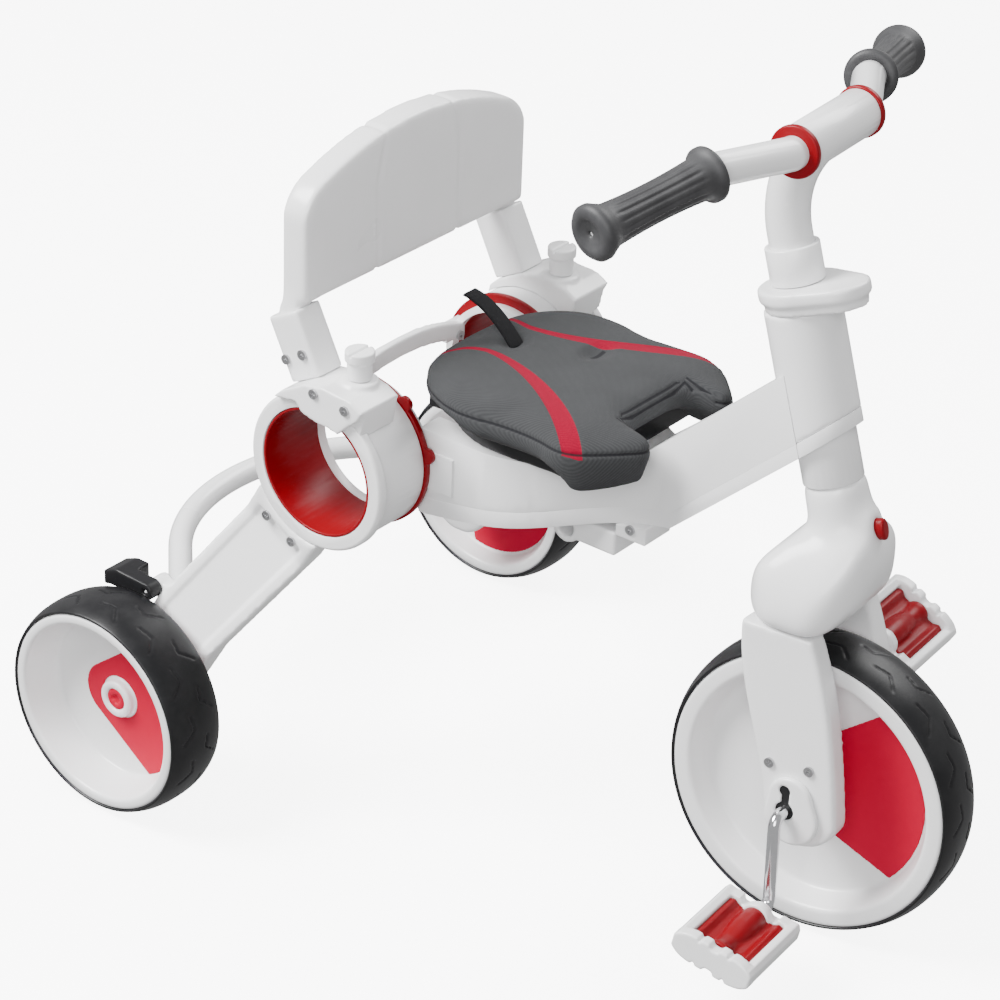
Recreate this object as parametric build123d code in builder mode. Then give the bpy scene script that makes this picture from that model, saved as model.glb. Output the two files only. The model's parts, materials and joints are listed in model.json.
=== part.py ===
from build123d import *
import math
import os

# Children's tricycle, in millimetres.  +X points forward, +Y to the rider's left, +Z up.
# While it is built, x = 0 is the rear axle; at export the whole model moves so that the
# origin is the centre of its footprint.  Right-hand pieces (y < 0) are built and mirrored.

# ---- overall layout -------------------------------------------------------------------
REAR_R = 86.0              # rear wheel radius
REAR_WIDTH = 51.0          # rear tyre width
REAR_OUTER_Y = 256.0       # outer face of a rear wheel
FRONT_R = 114.3            # front wheel radius
FRONT_WIDTH = 47.5
FRONT_X = 479.0            # front axle
RUN_FIT = 0.05             # radial clearance of a turning fit
GAP = 0.4                  # clearance between pieces that move past each other
RAKE = 16.88               # lean of the steering axis, degrees
STEER_X = 469.0            # steering axis at STEER_Z
STEER_Z = 336.0
STEER_REST = 6.0           # the bars are stored turned this far to the left

# ---- hubs, where the rear frame and the backrest fold ----------------------------------
HUB_X = 116.4
HUB_Z = 284.5
BORE_R = 47.8              # open bore through each hub
CORE_R = 50.0              # outside of the red core tube
CORE_FLANGE_R = 60.0
CORE_IN_Y = 82.0
CORE_FLANGE_T = 4.6
RING_R = 58.1
RING_OUT_Y = 132.5
BEZEL_R = 61.3
HUB_FACE_Y = 140.0

# ---- main frame ------------------------------------------------------------------------
FRAME_HALF_Y = 80.0
NECK_HALF_Y = 27.0          # same as the head, so the beam runs into it
SHELL_T = 3.0
FRAME_TOP_Z = HUB_Z + 30.5
SEAM_Z = HUB_Z - 25.5             # seam between the shells, at the rear
SEAM_X = 171.0
NECK_X = 350.0             # the beam turns up towards the head here
NECK_Z = 292.0             # seam height there
NECK_SLOPE = 42.5
NECK_TOP_X = NECK_X - 5
NECK_TOP_Z = FRAME_TOP_Z + 33
LIP = 13.0                 # depth of the lower shell below the seam
HEAD_R = 27.0
HEAD_TOP = 141.0           # distances along the steering axis, from STEER_Z
TUBE_R = 21.5
TUBE_WALL = 3.0
BEARING_L = 10.0
STEERER_R = 14.0
COLLAR_TOP = 15.0
PLATE_STEP = 7.0
PLATE_T = 10.0
PLATE_R = 31.0
PLATE_NOSE_R = 22.0
PLATE_NOSE = 32.0

# ---- seat ------------------------------------------------------------------------------
TRAY_T = 20.0
PAD_T = 25.0
PAD_HALF_Y = 94.0
PAD_REAR_X = 150.0
PAD_FRONT_X = 345.0
NOTCH_HALF_Y = 33.0
NOTCH_X = 316.0
STRAP_X = 188.0
SLOT_X = 241.0            # the belt slot beside the strap
SLOT_Y = 27.0
SLOT_W = 6.0
SLOT_L = 20.0

# ---- rear legs and hoop ----------------------------------------------------------------
LEG_T = 22.0
LEG_TOP_W = 66.0
LEG_END_R = 29.0
LEG_OUT_Y = REAR_OUTER_Y - REAR_WIDTH - 8   # the wheel's inner face is 8 mm further out
LEG_BEND_TOP = 78.0        # where the leg starts to splay, and where it ends, from the hub
LEG_BEND_LOW = 158.0
HOOP_R = 9.3
HOOP_X = -90.0
HOOP_Z = REAR_R + 61
HOOP_BEND_R = 160.0
HOOP_BEND_Y = 110.0
AXLE_R = 4.0

# ---- backrest --------------------------------------------------------------------------
REST_HALF_Y = 125.0
REST_FRONT_X = HUB_X - 22.4
REST_T = 24.0
REST_LOW_Z = HUB_Z + 120.5
REST_TOP_Z = REST_LOW_Z + 110
BRACKET_Y = 117.0
BRACKET_T = 27.0
BRACKET_W = 30.0
BRACKET_L = 50.5
BRACKET_LEAN = 27.0
BRACKET_X = HUB_X - 17.9
BRACKET_Z = HUB_Z + 65
CLAMP_IN_Y = BRACKET_Y - BRACKET_T / 2 - 0.5
CLAMP_OUT_Y = 144.6
KNOB_X = HUB_X + 21.6
KNOB_R = 11.0
KNOB_STEM_R = 9.3
KNOB_H = 24.0
KNOB_Z = HUB_Z + 73.5

# ---- steering --------------------------------------------------------------------------
FORK_T = 19.0
FORK_GAP = 7.25            # between the tyre's side and the fork leg
FORK_OUT_Y = FRONT_WIDTH / 2 + FORK_GAP + FORK_T
COVER_T = 5.0
STEM_R = 15.5
STEM_COLLAR_R = 19.0
STEM_COLLAR_L = 26.0
SLEEVE_X = 434.0
SLEEVE_Z = 597.3
SLEEVE_R = 16.8
SLEEVE_HALF = 43.0
BAR_R = 11.5
GRIP_R = 13.0
GRIP_FLANGE_R = 19.0
GRIP_START = 6.0
BUTTON_TRAVEL = 2.5

# ---- cranks and pedals -----------------------------------------------------------------
CRANK_R = 4.6
CRANK_L = 68.0
CRANK_LEAN = 4.0           # the lower arm leans this far forward of straight down
CRANK_OUT_Y = FORK_OUT_Y + 18
PEDAL_IN_Y = CRANK_OUT_Y + 14
PEDAL_L = 75.0
PEDAL_W = 63.0
PEDAL_T = 24.0

SCREW_R = 3.8
SCREW_H = 1.8
SHANK_R = 1.8
SHANK_L = 7.0

lean = math.radians(RAKE)
STEER = Plane(
    origin=(STEER_X, 0, STEER_Z),
    x_dir=(math.cos(lean), 0, math.sin(lean)),
    z_dir=(-math.sin(lean), 0, math.cos(lean)),
)
STEER_AXIS = Axis((STEER_X, 0, STEER_Z), (-math.sin(lean), 0, math.cos(lean)))
pieces = {}


def keep(name: str, part: Part) -> Part:
    """Label a finished piece and put it on the list to be written."""
    part.label = name
    pieces[name] = part
    return part


def mirrored(part: Part) -> Part:
    """The same piece on the tricycle's left side."""
    with BuildPart() as twin:
        mirror(part, about=Plane.XZ)
    return twin.part


def side(y: float) -> Plane:
    """A plane y to the right of the middle, facing right, with X forward and Y up."""
    return Plane.XZ.offset(y)


def side_plane(x: float, y: float, z: float) -> Plane:
    """A plane facing right with its origin at a point."""
    return Plane(origin=(x, -y, z), x_dir=(1, 0, 0), z_dir=(0, -1, 0))


def tube(axis_plane: Plane, outer: float, inner: float, length: float) -> Part:
    """A round tube that stands on a plane."""
    with BuildPart() as piece:
        with BuildSketch(axis_plane):
            Circle(outer)
            Circle(inner, mode=Mode.SUBTRACT)
        extrude(amount=length)
    return piece.part


def screws(places: list) -> Part:
    """Pan-head screws whose heads sit on the given planes, with a cross recess."""
    with BuildPart() as piece:
        for place in places:
            with BuildSketch(place):
                Circle(SCREW_R)
            extrude(amount=SCREW_H)
            with BuildSketch(place):
                Circle(SHANK_R)
            extrude(amount=-SHANK_L)
            with BuildSketch(place.offset(SCREW_H / 2)):
                Rectangle(SCREW_R, SCREW_R / 4)
                Rectangle(SCREW_R / 4, SCREW_R)
            extrude(amount=SCREW_H, mode=Mode.SUBTRACT)
    return piece.part


def drilled(part: Part, places: list, radius: float = SHANK_R, depth: float = SHANK_L) -> Part:
    """A part with a pilot hole under each of the given planes."""
    with BuildPart() as piece:
        add(part)
        for place in places:
            with BuildSketch(place.offset(1)):
                Circle(radius)
            extrude(amount=-depth - 1, mode=Mode.SUBTRACT)
    return piece.part


def cut(part: Part, *tools: Part) -> Part:
    """A part with the given tools taken away."""
    with BuildPart() as piece:
        add(part)
        for tool in tools:
            add(tool, mode=Mode.SUBTRACT)
    return piece.part


# ---- wheels ----------------------------------------------------------------------------
TYRE_CROWN = 5.0           # how far the tread bulges past the tyre's edge
TYRE_BEAD = 1.5            # tyre thickness at its edge
NOSE_X = -34.0             # the red wedge wraps the hub with a rounded nose
NOSE_CORNER_X = -23.0
NOSE_CORNER_Z = 20.0
WEDGE_T = 1.2


def wheel_axis(radius: float) -> Axis:
    return Axis((0, 0, radius), (0, 1, 0))


def wheel_tyre(radius: float, width: float) -> Part:
    """A crowned tyre, with its axle along Y and its middle on the XZ plane."""
    edge = radius - TYRE_CROWN
    inner = edge - TYRE_BEAD
    half = width / 2
    with BuildPart() as tyre:
        with BuildSketch(Plane.YZ):
            with BuildLine():
                ThreePointArc((-half, radius + edge), (0, 2 * radius), (half, radius + edge))
                Polyline((half, radius + edge), (half, radius + inner), (-half, radius + inner))
                Line((-half, radius + inner), (-half, radius + edge))
            make_face()
        revolve(axis=wheel_axis(radius))
    return tyre.part


def wheel_rim(radius: float, width: float, lip: float, disc: tuple, disc_r: float, hub: tuple) -> Part:
    """A dished rim: a lip at each face, a disc between disc[0] and disc[1], and a hub."""
    outer = radius - TYRE_CROWN - TYRE_BEAD
    half = width / 2
    lip_r = outer - lip
    across = (-half, -half, disc[0], disc[0], hub[0], hub[0])
    up = (outer, lip_r, disc_r, hub[2], hub[2], hub[3])
    back_across = (hub[1], hub[1], disc[1], disc[1], half, half)
    back_up = (hub[3], hub[2], hub[2], disc_r, lip_r, outer)
    points = [(a, radius + r) for a, r in zip(across + back_across, up + back_up)]
    with BuildPart() as rim:
        with BuildSketch(Plane.YZ):
            with BuildLine():
                Polyline(*points, close=True)
            make_face()
        revolve(axis=wheel_axis(radius))
    return rim.part


def wedge(radius: float, outer: float, spread: float, hole: float, y_face: float, turn: float) -> Part:
    """The red wedge on a wheel's disc, proud of the face at y_face towards -Y."""
    corner_x = outer * math.cos(math.radians(spread))
    corner_z = outer * math.sin(math.radians(spread))
    with BuildPart() as plate:
        with BuildSketch(side_plane(0, -y_face, radius)):
            with BuildLine():
                ThreePointArc((corner_x, corner_z), (outer, 0), (corner_x, -corner_z))
                Line((corner_x, -corner_z), (NOSE_CORNER_X, -NOSE_CORNER_Z))
                ThreePointArc(
                    (NOSE_CORNER_X, -NOSE_CORNER_Z), (NOSE_X, 0), (NOSE_CORNER_X, NOSE_CORNER_Z)
                )
                Line((NOSE_CORNER_X, NOSE_CORNER_Z), (corner_x, corner_z))
            make_face()
            Circle(hole, mode=Mode.SUBTRACT)
        extrude(amount=WEDGE_T)
    return plate.part.rotate(wheel_axis(radius), -turn)


REAR_LIP = 8.5
REAR_DISC_R = 65.0
REAR_DISC = (5.4, 9.4)     # the disc's faces, inward from the wheel's middle
REAR_HUB_R = 15.0
REAR_HUB_OUT = -1.6
REAR_PLUG_R = 8.5
REAR_PLUG_DEPTH = 6.0
REAR_WEDGE_R = 64.0
REAR_WEDGE_SPREAD = 65.0
REAR_MID_Y = REAR_OUTER_Y - REAR_WIDTH / 2
WEDGE_HOLE_R = 17.0


def rear_wheel(left: bool, turn: float) -> None:
    """One rear wheel: tyre, dished rim, red wedges with the hub plug."""
    half = REAR_WIDTH / 2
    tyre = wheel_tyre(REAR_R, REAR_WIDTH)
    hub = (REAR_HUB_OUT, half - 1, REAR_HUB_R, AXLE_R + RUN_FIT)
    body = wheel_rim(REAR_R, REAR_WIDTH, REAR_LIP, REAR_DISC, REAR_DISC_R, hub)
    with BuildPart() as rim:
        add(body)
        with BuildSketch(side_plane(0, -REAR_HUB_OUT - REAR_PLUG_DEPTH, REAR_R)):
            Circle(REAR_PLUG_R)
        extrude(amount=REAR_PLUG_DEPTH + 1, mode=Mode.SUBTRACT)
    with BuildPart() as trim:
        add(wedge(REAR_R, REAR_WEDGE_R, REAR_WEDGE_SPREAD, WEDGE_HOLE_R, REAR_DISC[0], turn))
        add(wedge(REAR_R, REAR_WEDGE_R, REAR_WEDGE_SPREAD, WEDGE_HOLE_R, REAR_DISC[1] + WEDGE_T, turn))
        with BuildSketch(side_plane(0, -REAR_HUB_OUT - REAR_PLUG_DEPTH, REAR_R)):
            Circle(REAR_PLUG_R)
        extrude(amount=REAR_PLUG_DEPTH - 1)
        with BuildSketch(side_plane(0, -REAR_HUB_OUT - 3, REAR_R)):
            Rectangle(REAR_PLUG_R, REAR_PLUG_R / 2)
            Rectangle(REAR_PLUG_R / 2, REAR_PLUG_R)
        extrude(amount=3, mode=Mode.SUBTRACT)
    name = "left" if left else "right"
    for label, part in (("rear_tyre", tyre), ("rear_rim", rim.part), ("rear_trim", trim.part)):
        placed = Pos(0, -REAR_MID_Y, 0) * part
        keep(f"{label}_{name}", mirrored(placed) if left else placed)


# ---- hubs and rear frame ---------------------------------------------------------------
def hub_core() -> Part:
    """Red core of a hub: an open tube with an inboard flange and two lugs."""
    with BuildPart() as core:
        with BuildSketch(side_plane(HUB_X, CORE_IN_Y, HUB_Z)):
            Circle(CORE_R)
            Circle(BORE_R, mode=Mode.SUBTRACT)
        extrude(amount=HUB_FACE_Y - CORE_IN_Y - 0.5)
        with BuildSketch(side_plane(HUB_X, CORE_IN_Y, HUB_Z)):
            Circle(CORE_FLANGE_R)
            with PolarLocations(CORE_FLANGE_R, 2, start_angle=12, angular_range=80):
                Circle(6)
            Circle(BORE_R, mode=Mode.SUBTRACT)
        extrude(amount=CORE_FLANGE_T)
    return core.part


TONGUE_W = 34.0
TONGUE_T = 5.0
TONGUE_REACH = 84.0


def leg_screw_places() -> list:
    """Two screws where the leg joins the ring, and two at its lower end."""
    top = [(HUB_X - 46, HUB_FACE_Y, HUB_Z - 52), (HUB_X - 22, HUB_FACE_Y, HUB_Z - 65)]
    low = [(-8, LEG_OUT_Y, REAR_R + 22), (12, LEG_OUT_Y, REAR_R - 8)]
    return [side_plane(*place) for place in top + low]


def hub_ring() -> Part:
    """White ring that turns on the core, with a tongue behind the rear leg."""
    leg_angle = math.degrees(math.atan2(REAR_R - HUB_Z, -HUB_X))
    inboard = CORE_IN_Y + CORE_FLANGE_T + GAP
    with BuildPart() as ring:
        with BuildSketch(side_plane(HUB_X, inboard, HUB_Z)):
            Circle(RING_R)
        extrude(amount=RING_OUT_Y - inboard)
        with BuildSketch(side_plane(HUB_X, HUB_FACE_Y - LEG_T - TONGUE_T, HUB_Z).rotated((0, 0, leg_angle))):
            with Locations((TONGUE_REACH / 2, 0)):
                Rectangle(TONGUE_REACH, TONGUE_W)
        extrude(amount=TONGUE_T)
        with BuildSketch(side_plane(HUB_X, inboard - 1, HUB_Z)):
            Circle(CORE_R + RUN_FIT)
        extrude(amount=RING_OUT_Y, mode=Mode.SUBTRACT)
    return ring.part


def ring_bezel() -> Part:
    """Outer face ring of a hub."""
    with BuildPart() as bezel:
        with BuildSketch(side_plane(HUB_X, RING_OUT_Y, HUB_Z)):
            Circle(BEZEL_R)
            Circle(CORE_R + GAP, mode=Mode.SUBTRACT)
        extrude(amount=HUB_FACE_Y - RING_OUT_Y)
        outer = bezel.edges().filter_by(GeomType.CIRCLE).group_by(Axis.Y)[0].sort_by(SortBy.RADIUS)[-1]
        fillet(outer, 3)
    return bezel.part


def rear_leg() -> Part:
    """Rear leg: drops from the ring, splays outwards, and ends round the axle."""
    run = math.hypot(HUB_X, HUB_Z - REAR_R)
    up = Vector(HUB_X / run, 0, (HUB_Z - REAR_R) / run)
    across = Plane(origin=(0, 0, REAR_R), x_dir=up, z_dir=(0, -1, 0))
    front = Plane(origin=(HUB_X, 0, HUB_Z), x_dir=-up, z_dir=(up.Z, 0, -up.X))
    reach = run + LEG_END_R * 2
    with BuildPart() as leg:
        with BuildSketch(across):
            Circle(LEG_END_R)
            with BuildLine():
                Polyline(
                    (0, -LEG_END_R), (run, -LEG_TOP_W / 2), (run, LEG_TOP_W / 2), (0, LEG_END_R), close=True
                )
            make_face()
        extrude(amount=LEG_OUT_Y + LEG_T)
        with BuildSketch(front):
            with BuildLine():
                Polyline(
                    (0, -HUB_FACE_Y), (LEG_BEND_TOP, -HUB_FACE_Y), (LEG_BEND_LOW, -LEG_OUT_Y),
                    (reach, -LEG_OUT_Y), (reach, LEG_T - LEG_OUT_Y), (LEG_BEND_LOW - 4, LEG_T - LEG_OUT_Y),
                    (LEG_BEND_TOP - 4, LEG_T - HUB_FACE_Y), (0, LEG_T - HUB_FACE_Y), close=True,
                )
            make_face()
        extrude(amount=LEG_TOP_W * 2, both=True, mode=Mode.INTERSECT)
        with BuildSketch(side_plane(HUB_X, 0, HUB_Z)):
            Circle(RING_R)
        extrude(amount=LEG_OUT_Y, mode=Mode.SUBTRACT)
        with BuildSketch(side_plane(HUB_X, RING_OUT_Y, HUB_Z)):
            Circle(BEZEL_R)
        extrude(amount=LEG_OUT_Y, mode=Mode.SUBTRACT)
        with BuildSketch(side_plane(0, 0, REAR_R)):
            Circle(AXLE_R)
        extrude(amount=LEG_OUT_Y + 1, mode=Mode.SUBTRACT)
    return leg.part


BRAKE_X = 5.0
BRAKE_Z = REAR_R + 82.5
BRAKE_PIN_R = 2.5
BRAKE_EAR_R = 7.0
BRAKE_IN_Y = LEG_OUT_Y - 19
BRAKE_MID_Y = LEG_OUT_Y - 7
BRAKE_OUT_Y = LEG_OUT_Y + 6


def brake_ear() -> Part:
    """Ear on the leg's outer side that carries the brake lever's pin."""
    with BuildPart() as ear:
        with BuildSketch(side_plane(BRAKE_X, BRAKE_IN_Y, BRAKE_Z)):
            Circle(BRAKE_EAR_R)
            with Locations((BRAKE_EAR_R, -BRAKE_EAR_R)):
                Rectangle(BRAKE_EAR_R * 2, BRAKE_EAR_R * 3)
        extrude(amount=BRAKE_MID_Y - BRAKE_IN_Y)
        with BuildSketch(side_plane(BRAKE_X, BRAKE_MID_Y, BRAKE_Z)):
            Circle(BRAKE_PIN_R)
        extrude(amount=BRAKE_OUT_Y - BRAKE_MID_Y)
    return ear.part


def brake_lever() -> Part:
    """Foot lever behind the leg that swings down on its pin to lock the wheel."""
    reach = 42.0
    with BuildPart() as lever:
        with BuildSketch(side_plane(BRAKE_X, BRAKE_MID_Y + GAP, BRAKE_Z)):
            Circle(BRAKE_EAR_R)
            with BuildLine():
                Polyline((0, -5), (-reach, -8), (-reach, 3), (-reach + 12, 8), (0, BRAKE_EAR_R), close=True)
            make_face()
            Circle(BRAKE_PIN_R + RUN_FIT, mode=Mode.SUBTRACT)
        extrude(amount=BRAKE_OUT_Y - BRAKE_MID_Y - GAP)
        with BuildSketch(side_plane(BRAKE_X, BRAKE_IN_Y, BRAKE_Z)):
            with BuildLine():
                Polyline((-reach, -8), (-reach, 3), (-reach + 12, 8), (-18, 8), (-18, -6), close=True)
            make_face()
        extrude(amount=BRAKE_MID_Y + GAP - BRAKE_IN_Y)
    return lever.part


def hoop_half_path():
    """Centre-line of the right half of the hoop, in the hoop's own plane."""
    bend = math.asin(HOOP_BEND_Y / HOOP_BEND_R)
    bend_x = HOOP_X + HOOP_BEND_R * (1 - math.cos(bend))
    end_y = LEG_OUT_Y - LEG_T + 6
    end_x = bend_x + (end_y - HOOP_BEND_Y) * math.tan(bend)
    return bend, bend_x, end_x, end_y


def rear_hoop() -> Part:
    """Round tube behind the seat that ties the two legs together."""
    bend, bend_x, end_x, end_y = hoop_half_path()
    with BuildPart() as hoop:
        with BuildLine(Plane.XY.offset(HOOP_Z)) as path:
            Line((end_x, -end_y), (bend_x, -HOOP_BEND_Y))
            ThreePointArc((bend_x, -HOOP_BEND_Y), (HOOP_X, 0), (bend_x, HOOP_BEND_Y))
            Line((bend_x, HOOP_BEND_Y), (end_x, end_y))
        with BuildSketch(Plane(origin=path.wires()[0] @ 0, z_dir=path.wires()[0] % 0)):
            Circle(HOOP_R)
        sweep(path=path.wires()[0])
    return hoop.part


def rear_axles() -> Part:
    """A steel pin through each leg that carries a rear wheel."""
    inner = LEG_OUT_Y - LEG_T - 3
    outer = REAR_MID_Y - REAR_HUB_OUT - REAR_PLUG_DEPTH - 0.5
    with BuildPart() as pins:
        with BuildSketch(side_plane(0, inner, REAR_R)):
            Circle(AXLE_R)
        extrude(amount=outer - inner)
        with BuildSketch(side_plane(0, inner, REAR_R)):
            Circle(AXLE_R * 2)
        extrude(amount=3)
        mirror(about=Plane.XZ)
    return pins.part


# ---- main frame ------------------------------------------------------------------------
def seam_height(x: float) -> float:
    """Height of the seam up the sloping neck."""
    return NECK_Z + (x - NECK_X) * math.tan(math.radians(NECK_SLOPE))


FAR_X = 520.0
ARM_REAR_X = HUB_X + BORE_R
ARM_SLOT_X = 186.0
ARM_W = 22.0
ARM_RING_T = 8.0
ARM_RING_R = 53.0
BEAM_END_U = -6.0          # the beam stops this far from the steering axis


def seam_line(drop: float) -> list:
    """The seam, or the line a drop below it, from the rear to the front."""
    return [(ARM_REAR_X, SEAM_Z - drop), (SEAM_X, SEAM_Z - drop), (NECK_X, NECK_Z - drop),
            (FAR_X, seam_height(FAR_X) - drop)]


def frame_envelope(inset: float) -> Part:
    """Beam and arms as one block; inset shrinks it to the hollow inside."""
    top_rise = math.tan(math.radians(NECK_SLOPE))
    head_x = STEER_X - 30
    top = [(head_x + 45, NECK_TOP_Z + (head_x + 45 - NECK_TOP_X) * top_rise), (NECK_TOP_X, NECK_TOP_Z),
           (NECK_TOP_X - 38, FRAME_TOP_Z), (ARM_REAR_X, FRAME_TOP_Z)]
    low_front = (head_x + 60, seam_height(head_x + 60) - LIP)
    with BuildPart() as block:
        with BuildSketch(Plane.XZ):
            with BuildLine():
                Polyline(*seam_line(LIP)[:-1], low_front, *top, close=True)
            make_face()
            if inset:
                offset(amount=-inset, kind=Kind.INTERSECTION)
        extrude(amount=FRAME_HALF_Y, both=True)
        with BuildSketch(Plane.XY):
            half = FRAME_HALF_Y - inset
            neck = NECK_HALF_Y - inset
            with BuildLine():
                Line((ARM_REAR_X, -half), (215, -half))
                Bezier((215, -half), (275, -half), (285, -neck), (345, -neck))
                Line((345, -neck), (FAR_X, -neck))
                Line((FAR_X, -neck), (FAR_X, neck))
                Line((FAR_X, neck), (345, neck))
                Bezier((345, neck), (285, neck), (275, half), (215, half))
                Line((215, half), (ARM_REAR_X, half))
                Line((ARM_REAR_X, half), (ARM_REAR_X, -half))
            make_face()
        extrude(amount=FAR_X * 2, mode=Mode.INTERSECT)
        if not inset:
            with BuildSketch(Plane.XY):
                with Locations((ARM_SLOT_X / 2, 0)):
                    Rectangle(ARM_SLOT_X, (FRAME_HALF_Y - ARM_W) * 2)
            extrude(amount=FAR_X, mode=Mode.SUBTRACT)
        else:
            with BuildSketch(Plane.XY):
                with Locations((ARM_SLOT_X / 2, 0)):
                    Rectangle(ARM_SLOT_X + 2 * inset, FRAME_HALF_Y * 2)
            extrude(amount=FAR_X, mode=Mode.SUBTRACT)
    return block.part


def below_seam() -> Part:
    """Everything under the seam, as a cutting tool."""
    with BuildPart() as block:
        with BuildSketch(Plane.XZ):
            with BuildLine():
                Polyline(*seam_line(0), (FAR_X, 0), (ARM_REAR_X, 0), close=True)
            make_face()
        extrude(amount=FRAME_HALF_Y * 2, both=True)
    return block.part


def above_seam() -> Part:
    """Everything over the seam, as a cutting tool."""
    with BuildPart() as block:
        with BuildSketch(Plane.XZ):
            with BuildLine():
                Polyline(*seam_line(0), (FAR_X, FAR_X * 2), (ARM_REAR_X, FAR_X * 2), close=True)
            make_face()
        extrude(amount=FRAME_HALF_Y * 2, both=True)
    return block.part


def below_lip() -> Part:
    """Everything under the lower shell's bottom, as a cutting tool."""
    with BuildPart() as block:
        with BuildSketch(Plane.XZ):
            with BuildLine():
                Polyline(*seam_line(LIP)[1:], (FAR_X, 0), (SEAM_X, 0), close=True)
            make_face()
        extrude(amount=FRAME_HALF_Y * 2, both=True)
    return block.part


def hub_arm_rings() -> Part:
    """The round end of each frame arm against the core's flange, with a lug for the crossbar."""
    with BuildPart() as rings:
        with BuildSketch(side_plane(HUB_X, CORE_IN_Y - ARM_RING_T, HUB_Z)):
            Circle(ARM_RING_R)
            with Locations((ARM_RING_R, 0)):
                Rectangle(ARM_RING_R, CROSSBAR_H * 2)
            Circle(BORE_R, mode=Mode.SUBTRACT)
        extrude(amount=ARM_RING_T)
        with BuildSketch(side_plane(0, CORE_IN_Y - ARM_RING_T - CROSSBAR_LUG, 0)):
            with Locations((CROSSBAR_X - CROSSBAR_T, CROSSBAR_END_Z)):
                Rectangle(CROSSBAR_T, CROSSBAR_H - 1)
        extrude(amount=CROSSBAR_LUG + ARM_RING_T)
        mirror(about=Plane.XZ)
    return rings.part


def beam() -> Part:
    """The beam before it is parted at the seam: a hollow block that stops at the head."""
    with BuildPart() as block:
        add(frame_envelope(0))
        add(frame_envelope(SHELL_T), mode=Mode.SUBTRACT)
        with BuildSketch(STEER.offset(-FAR_X)):
            with Locations((FAR_X / 2 + BEAM_END_U, 0)):
                Rectangle(FAR_X, FAR_X)
        extrude(amount=FAR_X * 2, mode=Mode.SUBTRACT)
        with BuildSketch(STEER.offset(-FAR_X)):
            Circle(HEAD_R)
        extrude(amount=FAR_X * 2, mode=Mode.SUBTRACT)
    return block.part


def frame_shells() -> None:
    """Upper and lower moulded shells of the beam, each closed by the other."""
    whole = beam()
    with BuildPart() as upper:
        add(whole)
        add(below_seam(), mode=Mode.SUBTRACT)
        add(hub_arm_rings())
    keep("frame_upper_shell", drilled(upper.part, crossbar_screw_places(), depth=20))
    with BuildPart() as lower:
        add(whole)
        with BuildSketch(STEER):
            Circle(HEAD_R)
            Circle(TUBE_R, mode=Mode.SUBTRACT)
        extrude(amount=HEAD_TOP)
        add(above_seam(), mode=Mode.SUBTRACT)
        add(below_lip(), mode=Mode.SUBTRACT)
    keep("frame_lower_shell", lower.part)


def head_pieces() -> None:
    """Head shell, its inner tube with two bearings, and the plate on top."""
    with BuildPart() as shell:
        with BuildSketch(STEER.offset(-60)):
            Circle(HEAD_R)
            Circle(TUBE_R, mode=Mode.SUBTRACT)
        extrude(amount=60 + HEAD_TOP)
        add(below_seam(), mode=Mode.SUBTRACT)
        with BuildSketch(STEER.offset(HEAD_TOP - 22)):
            with Locations((-HEAD_R, -9)):
                Rectangle(12, 14)
        extrude(amount=15, mode=Mode.SUBTRACT)
    keep("head_shell", shell.part)
    keep("head_tube", tube(STEER.offset(COLLAR_TOP + GAP), TUBE_R, TUBE_R - TUBE_WALL,
                           HEAD_TOP - COLLAR_TOP - GAP))
    with BuildPart() as bearings:
        for start in (COLLAR_TOP + GAP, HEAD_TOP - BEARING_L):
            with BuildSketch(STEER.offset(start)):
                Circle(TUBE_R - TUBE_WALL)
                Circle(STEERER_R + RUN_FIT, mode=Mode.SUBTRACT)
            extrude(amount=BEARING_L)
    keep("head_bearings", bearings.part)
    with BuildPart() as plate:
        for start, height, inset in ((HEAD_TOP, PLATE_STEP, 3), (HEAD_TOP + PLATE_STEP, PLATE_T, 0)):
            with BuildSketch(STEER.offset(start)):
                with Locations((3, 0)):
                    Circle(PLATE_R - inset)
                with Locations((PLATE_NOSE, 0)):
                    Circle(PLATE_NOSE_R - inset)
                make_hull()
                Circle(STEERER_R + GAP, mode=Mode.SUBTRACT)
            extrude(amount=height)
        top = plate.faces().sort_by(Axis.Z)[-1]
        fillet(top.outer_wire().edges(), 2)
    keep("head_flange_plate", plate.part)


CROSSBAR_X = HUB_X - 38.4
CROSSBAR_H = 15.0
CROSSBAR_T = 7.0
CROSSBAR_END_Z = HUB_Z + 22.5
CROSSBAR_RISE = 14.0
CROSSBAR_LUG = 14.0
CROSSBAR_END_Y = CORE_IN_Y - ARM_RING_T


def crossbar_screw_places() -> list:
    """A screw through each end of the crossbar, from the front."""
    front = CROSSBAR_X + CROSSBAR_T / 2
    return [
        Plane(origin=(front, y, CROSSBAR_END_Z), x_dir=(0, 1, 0), z_dir=(1, 0, 0))
        for y in (-CROSSBAR_END_Y + CROSSBAR_LUG / 2, CROSSBAR_END_Y - CROSSBAR_LUG / 2)
    ]


def crossbar() -> Part:
    """Arched flat bar that joins the two frame arms behind the seat."""
    end_y = CROSSBAR_END_Y
    with BuildPart() as bar:
        with BuildSketch(Plane.YZ.offset(CROSSBAR_X - CROSSBAR_T / 2)):
            with BuildLine():
                low = CROSSBAR_END_Z - CROSSBAR_H / 2
                high = CROSSBAR_END_Z + CROSSBAR_H / 2
                ThreePointArc((-end_y, low), (0, low + CROSSBAR_RISE), (end_y, low))
                Line((end_y, low), (end_y, high))
                ThreePointArc((end_y, high), (0, high + CROSSBAR_RISE), (-end_y, high))
                Line((-end_y, high), (-end_y, low))
            make_face()
        extrude(amount=CROSSBAR_T)
    return bar.part


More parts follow.
